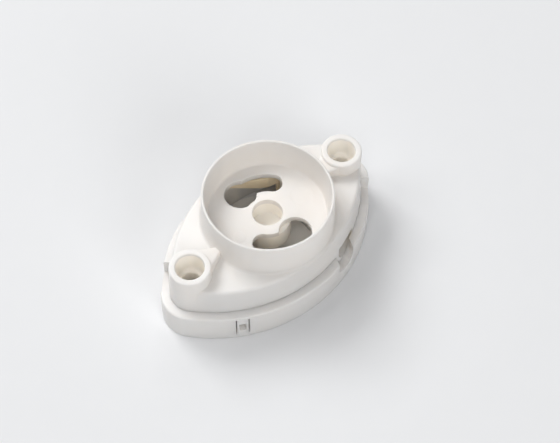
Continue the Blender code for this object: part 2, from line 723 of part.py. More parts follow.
def thicken(item, thickness):
    """Give an open strip its thickness, half to each side."""
    solid = item.modifiers.new("sheet", "SOLIDIFY")
    solid.thickness = thickness
    solid.offset = 0.0
    solid.use_even_offset = True


def contact(name, finish):
    """One brass strip: spring leaf, stem in its guide, folded terminal tab and foot."""
    wall_angle = math.asin(BAND_X / ARC_RADIUS)
    foot_corner = Vector((BAND_X, FOOT_Y - BEND_RADIUS))
    wall_line = Vector((-math.cos(wall_angle), -math.sin(wall_angle)))
    corners = [
        LEAF_NORMAL * LEAF_MIDDLE - LEAF_ALONG * LEAF_REACH,
        KNEE,
        Vector((BAND_X, BAND_CORNER_Y)),
        foot_corner,
        foot_corner + wall_line * FOOT_LENGTH]
    path = rounded_path(corners, BEND_RADIUS)
    mesh = ribbon(name, path, lambda point: ((*point, SKIRT_LOW), (*point, STRIP_TOP)))
    made = part(name, mesh, finish)
    thicken(made, STRIP)
    combine(made, contact_trim(), "DIFFERENCE")
    combine(made, contact_tab(), "UNION")
    hole = rod(NUT_BORE_RADIUS + FIT, TAB_LOW - BITE, TAB_TOP + BITE, TERMINAL_X, TERMINAL_Y)
    combine(made, helper("tab_hole", hole), "DIFFERENCE")
    return made


def contact_trim():
    """Waste beside the strip: above the arm, below the leaf, the stem and the folded tab."""
    step_x = on_arm(CUP_BORE_RADIUS - GUIDE_WALL).x
    far = HALF_CENTRES
    low = SKIRT_LOW - BITE
    arm_top = CEILING - FIT
    above = block(
        (far - step_x, 2 * far, STRIP_TOP - arm_top + BITE),
        ((far + step_x) / 2, 0, (STRIP_TOP + BITE + arm_top) / 2))
    leaf = block(
        (far + step_x, 2 * far, LEAF_LOW - low), ((step_x - far) / 2, 0, (LEAF_LOW + low) / 2))
    stem = block(
        (2 * far, far, STEM_LOW - low),
        (0, TERMINAL_Y + TAB_HALF + far / 2, (STEM_LOW + low) / 2))
    fold = block(
        (FOLD_REACH, 2 * (TAB_HALF + RELIEF), FOLD_TOP - low),
        (BAND_X, TERMINAL_Y, (FOLD_TOP + low) / 2))
    made = helper("contact_trim", stem)
    combine(made, helper("contact_trim_leaf", leaf), "UNION")
    combine(made, helper("contact_trim_fold", fold), "UNION")
    combine(made, helper("contact_trim_top", above), "UNION")
    return made


def contact_tab():
    """Terminal tab, folded in from the lower edge of the strip."""
    tab_middle = TAB_LOW + TAB_STRIP / 2
    corners = [
        Vector((BAND_X, FOLD_TOP + 2 * BEND_RADIUS)),
        Vector((BAND_X, tab_middle)),
        Vector((TERMINAL_X - TAB_HALF, tab_middle))]
    near = TERMINAL_Y - TAB_HALF
    far = TERMINAL_Y + TAB_HALF
    path = rounded_path(corners, FOLD_RADIUS)
    mesh = ribbon(
        "contact_tab", path,
        lambda point: ((point.x, near, point.y), (point.x, far, point.y)))
    made = bpy.data.objects.new("contact_tab", mesh)
    made.hide_render = True
    made.display_type = "WIRE"
    CUTTERS.objects.link(made)
    thicken(made, TAB_STRIP)
    return made


def terminal_nut(name, finish):
    """Square nut that sits in its pocket above the tab."""
    middle = PAD_LOW + NUT_THICKNESS / 2
    bm = block((NUT_WIDTH, NUT_WIDTH, NUT_THICKNESS), (0, 0, middle))
    upright = [edge for edge in bm.edges if is_upright(edge)]
    bmesh.ops.bevel(bm, geom=upright, offset=NUT_CHAMFER, segments=CHAMFER_STEPS, affect="EDGES")
    made = part(name, finish_mesh(name, bm), finish)
    bore = rod(NUT_BORE_RADIUS, PAD_LOW - BITE, PAD_LOW + NUT_THICKNESS + BITE)
    combine(made, helper("nut_bore", bore), "DIFFERENCE")
    return at_terminal(made)


def clamp_plate(name, finish):
    """Square clamping plate under the tab, with a lip that keeps the wire in."""
    low = CLAMP_TOP - CLAMP_THICKNESS
    bm = block((CLAMP_WIDTH, CLAMP_WIDTH, CLAMP_THICKNESS), (0, 0, (low + CLAMP_TOP) / 2))
    made = part(name, finish_mesh(name, bm), finish)
    lip_top = TAB_LOW + TAB_STRIP / 2
    lip_low = low + FIT / 2
    lip_x = -(TAB_HALF + FIT + CLAMP_LIP / 2)
    lip = block(
        (CLAMP_LIP, CLAMP_WIDTH - 2 * BITE, lip_top - lip_low),
        (lip_x, 0, (lip_top + lip_low) / 2))
    combine(made, helper("clamp_lip", lip), "UNION")
    hole = rod(CLAMP_HOLE_RADIUS, low - BITE, CLAMP_TOP + BITE)
    combine(made, helper("clamp_hole", hole), "DIFFERENCE")
    return at_terminal(made)


def terminal_screw(name, finish):
    """Slotted cheese-head screw with its head towards the tray."""
    low = HEAD_TOP - HEAD_HEIGHT
    head = rod(HEAD_RADIUS, low, HEAD_TOP, segments=BOSS_SEGMENTS)
    rim = [edge for edge in head.edges if max(vert.co.z for vert in edge.verts) < low + FIT]
    bmesh.ops.bevel(head, geom=rim, offset=HEAD_EDGE, segments=SMALL_EDGE_STEPS, affect="EDGES")
    made = part(name, finish_mesh(name, head), finish)
    tip = HEAD_TOP + SHANK_LENGTH
    shank = rod(SHANK_RADIUS, HEAD_TOP - BITE, tip)
    end = [edge for edge in shank.edges if min(vert.co.z for vert in edge.verts) > tip - FIT]
    bmesh.ops.bevel(shank, geom=end, offset=HEAD_EDGE, segments=CHAMFER_STEPS, affect="EDGES")
    combine(made, helper("screw_shank", shank), "UNION")
    slot = block(
        (2 * (HEAD_RADIUS + BITE), DRIVER_SLOT_WIDTH, DRIVER_SLOT_DEPTH + BITE),
        (0, 0, low + (DRIVER_SLOT_DEPTH - BITE) / 2), DRIVER_SLOT_TURN)
    combine(made, helper("driver_slot", slot), "DIFFERENCE")
    return at_terminal(made)


def is_upright(edge):
    """Whether an edge of a box stands upright."""
    first, second = edge.verts
    return abs(first.co.z - second.co.z) > FIT


def at_terminal(made):
    """Set a piece of the terminal, and the shapes that it is made with, on the screw's axis."""
    shapes = [step.object for step in made.modifiers if step.type == "BOOLEAN"]
    for item in [made, *shapes]:
        item.location = (TERMINAL_X, TERMINAL_Y, 0)
    return made


def twin(item, name, finish):
    """The same piece at the other end of the holder."""
    bpy.context.view_layer.update()
    graph = bpy.context.evaluated_depsgraph_get()
    mesh = bpy.data.meshes.new_from_object(item.evaluated_get(graph))
    mesh.name = name
    mesh.materials.clear()
    made = part(name, mesh, finish)
    made.location = -item.location
    made.rotation_euler.z = math.pi
    return made


def assemble():
    """Build every piece and hang them all on one empty."""
    pieces = [housing(), base_tray()]
    makers = (
        ("contact", contact, BRASS, 0.32),
        ("terminal_nut", terminal_nut, STEEL, 0.38),
        ("clamp_plate", clamp_plate, STEEL, 0.34),
        ("terminal_screw", terminal_screw, STEEL, 0.3))
    for name, maker, colour, roughness in makers:
        right, left = (
            material(f"{name}_{side}_metal", colour, roughness, 1.0) for side in ("right", "left"))
        made = maker(f"{name}_right", right)
        pieces += [made, twin(made, f"{name}_left", left)]
    frame = bpy.data.objects.new("starter_holder_frame", None)
    PARTS.objects.link(frame)
    for piece in pieces:
        piece.parent = frame


PLASTIC_HOUSING = material("white_plastic_housing", WHITE, 0.38, 0.0)
PLASTIC_TRAY = material("white_plastic_tray", WHITE, 0.42, 0.0)
assemble()
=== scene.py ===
"""Starter holder for fluorescent tubes, dressed for a studio picture.

The packed model gives the bodies, and each operator below makes one group of its pieces with
finer edges than the solids have: the moulded housing with its starter cup, the snap-on base
tray, the brass contacts and the screw terminals. Lengths are metres, +Z is up, the holder lies
on its flat back, and +X runs along the line of its two fixing holes.
"""
import math

import bmesh
import bpy
from bpy.props import FloatProperty, FloatVectorProperty, PointerProperty
from bpy.types import Operator, Panel, PropertyGroup
from mathutils import Matrix, Vector


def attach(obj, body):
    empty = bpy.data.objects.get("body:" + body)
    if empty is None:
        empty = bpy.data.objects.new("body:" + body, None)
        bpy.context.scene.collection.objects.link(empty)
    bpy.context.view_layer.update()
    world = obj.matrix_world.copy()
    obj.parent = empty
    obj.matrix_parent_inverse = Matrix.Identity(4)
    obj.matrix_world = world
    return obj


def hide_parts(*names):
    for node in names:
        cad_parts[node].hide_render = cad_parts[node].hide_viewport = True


bl_info = {
    "name": "Fluorescent Starter Holder",
    "version": (1, 0, 0),
    "blender": (4, 5, 0),
    "location": "View3D > Sidebar > Starter Holder",
    "description": "Builds a starter holder with its contacts, terminals and studio",
    "category": "Add Mesh",
}

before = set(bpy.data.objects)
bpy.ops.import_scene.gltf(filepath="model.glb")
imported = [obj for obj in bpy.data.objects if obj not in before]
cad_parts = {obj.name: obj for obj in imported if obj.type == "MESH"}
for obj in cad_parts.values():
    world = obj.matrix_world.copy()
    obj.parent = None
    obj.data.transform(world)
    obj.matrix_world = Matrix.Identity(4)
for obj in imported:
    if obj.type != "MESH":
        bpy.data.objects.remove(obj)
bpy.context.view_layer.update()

MM = 0.001
SMALLEST = 0.001 * MM               # that a size may be set to
FULL = 2
ARC_STEPS = 40 * FULL
TIP_STEPS = 14 * FULL
CUP_STEPS = 96 * FULL
BOSS_STEPS = 40 * FULL
SMALL_STEPS = 24 * FULL
EDGE_STEPS = 4 * FULL
BEND_STEPS = 6 * FULL
BITE = 0.3 * MM                     # how far joined shapes and cutters run past a face
SINK = 0.02 * MM                    # how far the cup's fillet and the floor lie under a face
SHARP_ANGLE = math.radians(32.0)
MOUTH_SHARE = 0.7                   # rounding of a fixing hole's mouth, as a share of the rim's
NOSE_SHARE = 2 / 3                  # how far a latch's nose reaches into the tray's wall
THREAD_SHARE = 0.42                 # half width of the thread's foot, as a share of its pitch
CROWN_SHARE = 1.6                   # height of a nut's lower chamfer, as a share of its upper
RIB_PITCH = 0.8 * MM                # of the ribs pressed into a clamping plate
RIB_DEPTH = 0.05 * MM
ROLL_DEPTH = 0.006 * MM             # of the lines that rolling leaves on brass
STAIN_DEPTH = 0.02 * MM             # of its tarnish
PLATING_GRAIN = 0.004 * MM
PLATING_SWELL = 0.012 * MM
PLASTIC_INDEX = 1.49                # of refraction
PLASTIC_SPREAD = (1.0, 0.92, 0.84)  # how far red, green and blue go into the plastic

# Round marks that the mould leaves on the cup's floor: x, y, radius and rise
MOULD_MARKS = (
    (-7.4 * MM, -0.4 * MM, 1.15 * MM, 0.04 * MM),
    (7.2 * MM, -1.5 * MM, 2.1 * MM, -0.03 * MM))
MARK_EDGE = 0.25 * MM

# Column of plastic round the cup that years of a warm starter have tinted
HEATED_X = 4.0 * MM
HEATED_RADIUS = 16.0 * MM
HEATED_EDGE = 14.0 * MM
HEATED_LOW = 7.0 * MM
HEATED_HIGH = 10.0 * MM
HOLLOW_EDGE = 0.3 * MM              # fading of the glow painted in a hollow, at its side and top
HOLLOW_FOOT = 0.2 * MM              # and below its foot

IMAGE_WIDTH = 560                   # pixels
IMAGE_HEIGHT = 443
SENSOR_WIDTH = 36.0                 # millimetres
CLIP_START = 0.01
FLOOR_REACH = 3.0                   # from the middle of the floor to its edge
LAMP_SIZE = 0.34

# Each soft lamp: its name, the strength in StageLook that it follows, its power and its place
LAMPS = (
    ("soft_key", "key", 3.25, (-0.021, 0.482, 0.575)),
    ("soft_left", "key", 1.15, (-0.355, 0.326, 0.575)),
    ("soft_back", "key", 0.8, (0.326, 0.355, 0.575)),
    ("soft_front", "fill", 1.3, (-0.284, -0.309, 0.622)),
    ("soft_low", "fill", 1.55, (-0.134, -0.655, 0.340)))


def length(name, millimetres, description):
    """A size in metres, whose default is given in millimetres."""
    return FloatProperty(
        name=name, description=description, default=millimetres * MM, min=SMALLEST,
        precision=5, subtype="DISTANCE", unit="LENGTH")


def offset(name, millimetres, description):
    """A position in metres that may lie on either side of zero."""
    return FloatProperty(
        name=name, description=description, default=millimetres * MM, precision=5,
        subtype="DISTANCE", unit="LENGTH")


def angle(name, degrees, description):
    """An angle whose default is given in degrees."""
    return FloatProperty(
        name=name, description=description, default=math.radians(degrees), subtype="ANGLE",
        unit="ROTATION")


def share(name, default, description):
    """A number from none to all."""
    return FloatProperty(
        name=name, description=description, default=default, min=0.0, max=1.0,
        subtype="FACTOR")


def amount(name, default, description):
    """A plain number from zero up."""
    return FloatProperty(name=name, description=description, default=default, min=0.0)


def colour(name, default, description):
    """A linear colour."""
    return FloatVectorProperty(
        name=name, description=description, default=default, size=3, min=0.0, max=1.0,
        subtype="COLOR")


class HolderPlan(PropertyGroup):
    """Outline of the holder from above: two wide arcs that meet a tip at each fixing hole."""
    fixing_centres: length("Fixing Centres", 38.0, "Distance between the two fixing holes")
    half_width: length("Half Width", 15.0, "From the middle to the widest point of the tray")
    tip_radius: length("Tip Radius", 5.75, "Rounding of the tray about each fixing hole")

    @property
    def half_centres(self):
        return self.fixing_centres / 2

    @property
    def arc_radius(self):
        spread = self.half_centres ** 2 + self.half_width ** 2 - self.tip_radius ** 2
        return spread / (2 * (self.half_width - self.tip_radius))

    @property
    def arc_setback(self):
        return self.arc_radius - self.half_width

    def outline(self, inset):
        """Points round the plan, drawn in from the tray's outer face."""
        wide = self.arc_radius - inset
        tip = self.tip_radius - inset
        tangent = math.atan2(self.half_centres, self.arc_setback)
        points = []
        for side in (1, -1):
            for step in range(ARC_STEPS):
                turn = tangent * (1 - 2 * step / ARC_STEPS)
                x = wide * math.sin(turn)
                y = wide * math.cos(turn) - self.arc_setback
                points.append((side * x, side * y))
            for step in range(TIP_STEPS):
                turn = math.pi / 2 + tangent + (math.pi - 2 * tangent) * step / TIP_STEPS
                x = tip * math.cos(turn) - self.half_centres
                y = tip * math.sin(turn)
                points.append((side * x, side * y))
        return points

    def on_arc(self, turn, inset):
        """Point on the wide arc of the -Y side, by its angle from the middle towards +X."""
        reach = self.arc_radius - inset
        return Vector((reach * math.sin(turn), self.arc_setback - reach * math.cos(turn)))


class TraySizes(PropertyGroup):
    """The snap-on base tray, with its wire entries, latches and release notches."""
    height: length("Height", 7.0, "Height of the tray's wall")
    wall: length("Wall", 1.5, "Thickness of the tray's wall")
    floor: length("Floor", 1.8, "Thickness of the tray's back plate")
    edge: length("Edge Rounding", 0.4, "Rounding of the outer edges")
    lip: length("Lip", 0.248, "How far the wall thickens inward to close the seam")
    hole_radius: length("Hole Radius", 2.0, "Radius of the fixing holes in the back plate")
    wire_angle: angle("Wire Angle", 16.5, "Place of a wire entry along the wide arc")
    wire_aim: angle("Wire Aim", -24.0, "How far a wire entry turns towards its terminal")
    wire_width: length("Wire Width", 3.8, "Width of a wire entry")
    wire_sill: length("Wire Sill", 3.7, "Height of a wire entry's round bottom")
    latch_angle: angle("Latch Angle", -31.9, "Place of a latch along the wide arc")
    latch_finger: length("Latch Finger", 2.1, "Width of the springy finger of a latch")
    latch_slit: length("Latch Slit", 0.26, "Width of the slits beside the finger")
    latch_low: length("Latch Low", 1.4, "Lower end of the slits")
    latch_rim: length("Latch Rim", 0.6, "Height of the rim above the slits")
    window_width: length("Window Width", 1.3, "Width of the window in the finger")
    window_low: length("Window Sill", 2.6, "Height of the window's lower edge")
    window_height: length("Window Height", 2.2, "Height of the window")
    notch_angle: angle("Notch Angle", 44.7, "Place of a release notch along the wide arc")
    notch_length: length("Notch Length", 6.3, "Length of a release notch")
    notch_sill: length("Notch Sill", 3.6, "Height of a release notch's bottom")


class HousingSizes(PropertyGroup):
    """Skirt and shoulder of the moulded housing."""
    fit: length("Fit", 0.25, "Clearance between pieces that seat on each other")
    skirt_wall: length("Skirt Wall", 1.3, "Thickness of the skirt")
    shoulder_height: length("Shoulder Height", 13.0, "Top of the flat shoulder")
    shoulder_plate: length("Shoulder Plate", 1.5, "Thickness of the shoulder")
    shoulder_edge: length("Shoulder Edge", 0.7, "Rounding of the shoulder's edge")
    side_draft: length("Side Draft", 0.45, "How far the side leans in above the tray")
    wire_angle: angle("Wire Angle", 19.5, "Place of the notch behind a wire entry, along the arc")
    wire_aim: angle("Wire Aim", 0.0, "How far the notch turns towards its terminal")
    wire_width: length("Wire Width", 5.2, "Width of the notch behind a wire entry")
    wire_sill: length("Wire Sill", 3.8, "Height of the notch's round bottom")
    wire_top: length("Wire Top", 8.3, "Height of the notch's top")


class CupSizes(PropertyGroup):
    """The round cup that takes a starter, with its floor and keyholes."""
    height: length("Height", 20.4, "Height of the cup's lip")
    bore_radius: length("Bore Radius", 11.15, "Inner radius of the cup")
    wall: length("Wall", 1.05, "Thickness of the cup's wall at its foot")
    lip: length("Lip", 0.55, "Thickness of the cup's wall at its lip")
    floor_height: length("Floor Height", 14.15, "Top of the cup's floor")
    floor_plate: length("Floor Plate", 1.2, "Thickness of the cup's floor")
    draft: length("Draft", 0.25, "How much wider the cup is at its foot")
    foot_fillet: length("Foot Fillet", 0.7, "Fillet round the foot of the cup")
    floor_fillet: length("Floor Fillet", 0.5, "Fillet round the edge of the floor")
    limit: length("Limit", 0.2, "How far inside the shoulder's edge the foot is cut off")
    pocket_radius: length("Pocket Radius", 2.85, "Radius of the blind pocket in the floor")
    pocket_depth: length("Pocket Depth", 4.2, "Depth of the blind pocket")
    pocket_fillet: length("Pocket Fillet", 0.25, "Fillet at the bottom of the blind pocket")
    hub_wall: length("Hub Wall", 1.5, "Wall round the blind pocket")
    hub_base: length("Hub Base", 1.65, "Bottom under the blind pocket")
    pin_circle: length("Pin Circle", 6.5, "Radius on which a starter's pins turn")
    entry_radius: length("Entry Radius", 3.05, "Radius of a keyhole's wide end")
    slot_width: length("Slot Width", 3.9, "Width of a keyhole's narrow slot")
    slot_shift: offset("Slot Shift", 0.2, "How far the slot lies outside the pins' circle")
    entry_angle: angle("Entry Angle", 99.0, "Where the wide end lies")
    end_angle: angle("End Angle", 40.0, "Where the narrow slot ends")


class BossSizes(PropertyGroup):
    """The two bosses for the fixing screws."""
    height: length("Height", 16.1, "Top of a boss")
    radius: length("Radius", 3.85, "Radius of a boss at its top")
    draft: length("Draft", 0.1, "How much wider a boss is at its foot")
    edge: length("Edge Rounding", 0.35, "Rounding of a boss's rim")
    counterbore_radius: length("Counterbore Radius", 2.65, "Radius of the wide upper hole")
    counterbore_depth: length("Counterbore Depth", 4.6, "Depth of the wide upper hole")
    hole_radius: length("Hole Radius", 1.7, "Radius of the narrow lower hole")
    seat_edge: length("Seat Rounding", 0.45, "Rounding of the step between the two holes")
    post_radius: length("Post Radius", 3.3, "Radius of the column under a boss")
    web_tip: length("Web Tip", 1.0, "Width of the bridge between boss and cup at the cup")
    web_spread: angle("Web Spread", 50.0, "Where the bridge's sides leave the boss")
    web_drop: length("Web Drop", 0.4, "Top of the bridge below the top of the boss")
    web_fall: length("Web Fall", 1.0, "How far the bridge's top falls towards the cup")
    web_edge: length("Web Rounding", 0.45, "Rounding of the bridge's upper edges")


class ContactSizes(PropertyGroup):
    """The two spring contacts, bent from brass strip."""
    strip: length("Strip", 0.4, "Thickness of the strip")
    leaf_angle: angle("Leaf Angle", 57.0, "Direction in which the leaf faces")
    leaf_offset: length("Leaf Offset", 8.75, "From the cup's axis to the face of the leaf")
    leaf_top: length("Leaf Top", 12.4, "Upper edge of the strip")
    leaf_low: length("Leaf Low", 9.4, "Lower edge of the leaf")
    leaf_reach: length("Leaf Reach", 5.8, "From the leaf's middle to its free end")
    leaf_slope: angle("Leaf Slope", 14.0, "How steeply the lower edge rises to the free end")
    leaf_knee: length("Leaf Knee", 1.6, "From the leaf's middle to where its arm turns outward")
    arm_angle: angle("Arm Angle", 18.0, "How far the arm turns outward")
    stem_low: length("Stem Low", 5.6, "Lower edge of the stem")
    bend_radius: length("Bend Radius", 0.9, "Radius of the bends")
    foot_length: length("Foot Length", 4.6, "Length of the foot along the wall")
    relief: length("Relief", 0.4, "Slit beside the folded tab")
    tab_strip: length("Tab Strip", 0.36, "Thickness of the coined tab")
    fold_radius: length("Fold Radius", 0.7, "Bend between the strip and its tab")
    guide_wall: length("Guide Wall", 1.0, "Wall of the guide that grips the strip")
    guide_length: length("Guide Length", 2.2, "Length of the guide along the strip")
    guide_low: length("Guide Low", 6.4, "Lower end of the guide")
    support_radius: length("Support Radius", 1.0, "Foot of the peg under the strip")
    support_top: length("Support Top", 0.8, "Top radius of the peg under the strip")


class TerminalSizes(PropertyGroup):
    """The two screw terminals."""
    x: offset("Screw X", 9.8, "Place of the right terminal's screw along the holder")
    y: offset("Screw Y", -3.6, "Place of the right terminal's screw across the holder")
    nut_width: length("Nut Width", 5.5, "Width of the square nut")
    nut_thickness: length("Nut Thickness", 1.8, "Thickness of the square nut")
    nut_chamfer: length("Nut Chamfer", 0.25, "Chamfer on the nut's corners")
    pad_wall: length("Pad Wall", 0.9, "Wall round the nut's pocket")
    pad_low: length("Pad Low", 8.65, "Lower face of the block that holds the nut")
    shank_radius: length("Shank Radius", 1.45, "Outer radius of the thread")
    shank_length: length("Shank Length", 4.4, "Length of the shank under the head")
    thread_pitch: length("Thread Pitch", 0.5, "Rise of the thread in one turn")
    thread_depth: length("Thread Depth", 0.28, "Depth of the thread")
    thread_clearance: length("Thread Clearance", 0.1, "Play between screw and nut")
    head_radius: length("Head Radius", 2.7, "Radius of the screw's head")
    head_height: length("Head Height", 1.9, "Height of the screw's head")
    head_edge: length("Head Edge", 0.3, "Rounding of the head's edge")
    slot_width: length("Driver Slot Width", 0.7, "Width of the slot for the driver")
    slot_depth: length("Driver Slot Depth", 0.9, "Depth of the slot for the driver")
    slot_turn: angle("Driver Slot Turn", 35.0, "How far the slot is turned")
    clamp_width: length("Clamp Width", 5.8, "Width of the clamping plate")
    clamp_thickness: length("Clamp Thickness", 0.7, "Thickness of the clamping plate")
    clamp_lip: length("Clamp Lip", 0.6, "Thickness of the lip that keeps the wire in")
    clamp_hole: length("Clamp Hole", 1.65, "Radius of the plate's hole")


class PlasticLook(PropertyGroup):
    """The off-white moulded plastic."""
    colour: colour("Colour", (0.81, 0.79, 0.767), "Colour of clean plastic")
    speck: colour("Specks", (0.33, 0.29, 0.25), "Colour of the few dark specks")
    warm: colour("Warm Tint", (0.80, 0.755, 0.71), "Colour where the plastic has aged")
    # Painted glow: a lighter, warmer colour painted inside the hollows to stand in for light
    # bouncing round them, not the colour of unaged plastic
    painted_glow: colour("Sheltered Tint", (1.0, 0.945, 0.865), "Colour where no light ages it")
    roughness: share("Roughness", 0.36, "Roughness of the moulded face")
    glow: share("Glow", 0.5, "How much light the plastic lets through near its face")
    depth: length("Depth", 3.0, "How far light goes into the plastic")
    edge: length("Edge", 0.16, "Rounding of the housing's small edges")
    tray_edge: length("Tray Edge", 0.05, "Rounding of the tray's small edges")
    texture: length("Texture", 0.006, "Depth of the fine mould texture")


class MetalLook(PropertyGroup):
    """Brass strip and zinc-plated steel."""
    brass: colour("Brass", (1.0, 0.86, 0.62), "Colour of the clean strip")
    tarnish: colour("Tarnish", (0.94, 0.76, 0.50), "Colour of the tarnished strip")
    zinc: colour("Zinc", (0.72, 0.72, 0.70), "Colour of the plating")
    zinc_dull: colour("Dull Zinc", (0.44, 0.44, 0.43), "Colour of the plating where it is dull")


class StageLook(PropertyGroup):
    """Camera, floor and light."""
    view_angle: angle("View Angle", -42.54, "Direction of the camera round the holder")
    view_rise: angle("View Rise", 56.99, "Height of the camera above the floor")
    distance: length("Distance", 259.7, "From the camera to the holder")
    aim_height: length("Aim Height", 10.145, "Height of the point that the camera looks at")
    aim_right: offset("Aim Right", -1.974, "Shift of that point to the picture's right")
    aim_up: offset("Aim Up", 1.632, "Shift of that point to the picture's top")
    focal_pixels: amount("Focal Length", 1385.66, "Focal length in pixels of the picture")
    axis_x: amount("Axis X", 257.0, "Column of the picture that the lens points at")
    axis_y: amount("Axis Y", 215.5, "Row of the picture that the lens points at")
    floor: colour("Floor", (0.835, 0.84, 0.85), "Colour of the floor")
    floor_cloud: colour("Floor Clouds", (0.80, 0.81, 0.82), "Colour of the floor's faint clouds")
    sky: colour("Surround", (0.97, 0.985, 1.0), "Colour of the light from all round")
    key: amount("Key Light", 1.0, "Strength of the soft lamps behind the holder")
    fill: amount("Fill Light", 1.0, "Strength of the soft lamps in front of the holder")
    ambient: amount("Ambient Light", 0.06, "Strength of the light from all round")


GROUPS = {
    "holder_plan": HolderPlan,
    "holder_tray": TraySizes,
    "holder_housing": HousingSizes,
    "holder_cup": CupSizes,
    "holder_boss": BossSizes,
    "holder_contact": ContactSizes,
    "holder_terminal": TerminalSizes,
    "holder_plastic": PlasticLook,
    "holder_metal": MetalLook,
    "holder_stage": StageLook,
}


class Value:
    """A shader socket that can be used in Python expressions."""

    def __init__(self, nodes, socket):
        self.nodes = nodes
        self.socket = socket

    def maths(self, operation, *values):
        sockets = dict(enumerate(values))
        return self.nodes.node("ShaderNodeMath", {"operation": operation}, sockets)

    def __add__(self, other):
        return self.maths("ADD", self, other)

    def __sub__(self, other):
        return self.maths("SUBTRACT", self, other)

    def __rsub__(self, other):
        return self.maths("SUBTRACT", other, self)

    def __mul__(self, other):
        return self.maths("MULTIPLY", self, other)

    __radd__ = __add__
    __rmul__ = __mul__

    def squared(self):
        return self.maths("MULTIPLY", self, self)

    def root(self):
        return self.maths("SQRT", self)

    def sine(self):
        return self.maths("SINE", self)

    def larger(self, other):
        return self.maths("MAXIMUM", self, other)

    def ramp(self, low, high):
        """Smooth step from 0 at low to 1 at high."""
        return self.nodes.node(
            "ShaderNodeMapRange", {"interpolation_type": "SMOOTHSTEP"},
            {"Value": self, "From Min": low, "From Max": high})


class Nodes:
    """A node tree while it is being made."""

    def __init__(self, tree):
        self.tree = tree
        tree.nodes.clear()

    def node(self, kind, settings=None, sockets=None, output=0):
        """Add a node: its settings first, then the values or links of its sockets."""
        made = self.tree.nodes.new(kind)
        for key, value in (settings or {}).items():
            setattr(made, key, value)
        for key, value in (sockets or {}).items():
            if isinstance(value, Value):
                self.tree.links.new(value.socket, made.inputs[key])
            else:
                made.inputs[key].default_value = value
        return Value(self, made.outputs[output]) if made.outputs else None

    def blend(self, factor, first, second):
        """Mix two colours."""
        return self.node(
            "ShaderNodeMix", {"data_type": "RGBA"}, {0: factor, 6: first, 7: second}, 2)


class Finish(Nodes):
    """The nodes of a new material, with places measured from the holder's own origin."""

    def __init__(self, name):
        self.material = bpy.data.materials.new(name)
        self.material.use_nodes = True
        super().__init__(self.material.node_tree)
        place = self.node("ShaderNodeTexCoord", output="Object")
        self.place = place
        self.x, self.y, self.z = (
            self.node("ShaderNodeSeparateXYZ", sockets={0: place}, output=axis)
            for axis in "XYZ")

    def noise(self, scale, detail=2.0, roughness=0.5, stretch=None, shift=0.0):
        """Cloudy pattern between 0 and 1, with about scale features to the metre."""
        place = self.place
        if stretch or shift:
            place = self.node(
                "ShaderNodeMapping", sockets={
                    "Vector": self.place, "Scale": stretch or (1.0, 1.0, 1.0),
                    "Location": (shift, shift, shift)})
        return self.node(
            "ShaderNodeTexNoise", sockets={
                "Vector": place, "Scale": scale, "Detail": detail, "Roughness": roughness})

    def disc(self, x, y, radius, soft):
        """1 inside an upright round column, falling to 0 over soft at its edge."""
        reach = ((self.x - x).squared() + (self.y - y).squared()).root()
        return 1.0 - reach.ramp(radius - soft / 2, radius + soft / 2)

    def surface(self, fixed, varied):
        """Principled surface, with constants set on its sockets and links for the rest."""
        shader = self.node("ShaderNodeBsdfPrincipled", sockets={**fixed, **varied})
        self.node("ShaderNodeOutputMaterial", sockets={"Surface": shader})
        return self.material


def rgba(value):
    """A colour property with its alpha."""
    return (*value, 1.0)


def plastic(name, look, painted_glow_hollows, edge, marks=()):
    """Moulded plastic: cloudy ageing, fine mould texture, light scuffs and mould marks.

    Hollows are upright round spaces, each with its place, radius and two heights, where a
    lighter, warmer colour is painted on as a glow that stands in for light bouncing round inside
    them.
    """
    made = Finish(name)
    cloud = made.noise(scale=70.0, detail=3.0, roughness=0.55)
    patch = made.noise(scale=260.0, shift=0.37)
    heated = made.disc(HEATED_X, 0.0, HEATED_RADIUS, HEATED_EDGE)
    heated = heated * made.z.ramp(HEATED_LOW, HEATED_HIGH)
    aged = cloud.ramp(0.35, 0.75) * 0.3 + patch.ramp(0.45, 0.8) * 0.2 + heated * 0.5
    base = made.blend(aged, rgba(look.colour), rgba(look.warm))
    # Painted light: in each hollow the colour turns lighter and warmer, a painted glow for the
    # light that bounces round inside it
    for x, radius, low, high in painted_glow_hollows:
        inside = made.disc(x, 0.0, radius, HOLLOW_EDGE) * made.z.ramp(low - HOLLOW_FOOT, low)
        inside = inside * (1.0 - made.z.ramp(high, high + HOLLOW_EDGE))
        base = made.blend(inside, base, rgba(look.painted_glow))
    speck = made.noise(scale=2600.0, roughness=0.6, shift=0.11).ramp(0.79, 0.83)
    base = made.blend(speck * 0.35, base, rgba(look.speck))
    scuff = made.noise(
        scale=900.0, detail=3.0, roughness=0.6, stretch=(1.0, 0.12, 1.0), shift=0.53)
    scuff = scuff.ramp(0.6, 0.72)
    rough = look.roughness + patch * 0.10 + scuff * 0.12 + aged * 0.06
    grain = made.noise(scale=5200.0)
    swell = made.noise(scale=420.0, shift=0.71)
    height = grain * look.texture + swell * (2.5 * look.texture) - scuff * (0.5 * look.texture)
    for x, y, radius, rise in marks:
        height = height + made.disc(x, y, radius, MARK_EDGE) * rise
    rounded = made.node("ShaderNodeBevel", {"samples": 6}, {"Radius": edge})
    normal = made.node(
        "ShaderNodeBump", sockets={"Height": height, "Distance": 1.0, "Normal": rounded})
    return made.surface(
        {"Subsurface Weight": look.glow, "Subsurface Radius": PLASTIC_SPREAD,
         "Subsurface Scale": look.depth, "IOR": PLASTIC_INDEX, "Specular IOR Level": 0.5},
        {"Base Color": base, "Roughness": rough, "Normal": normal})


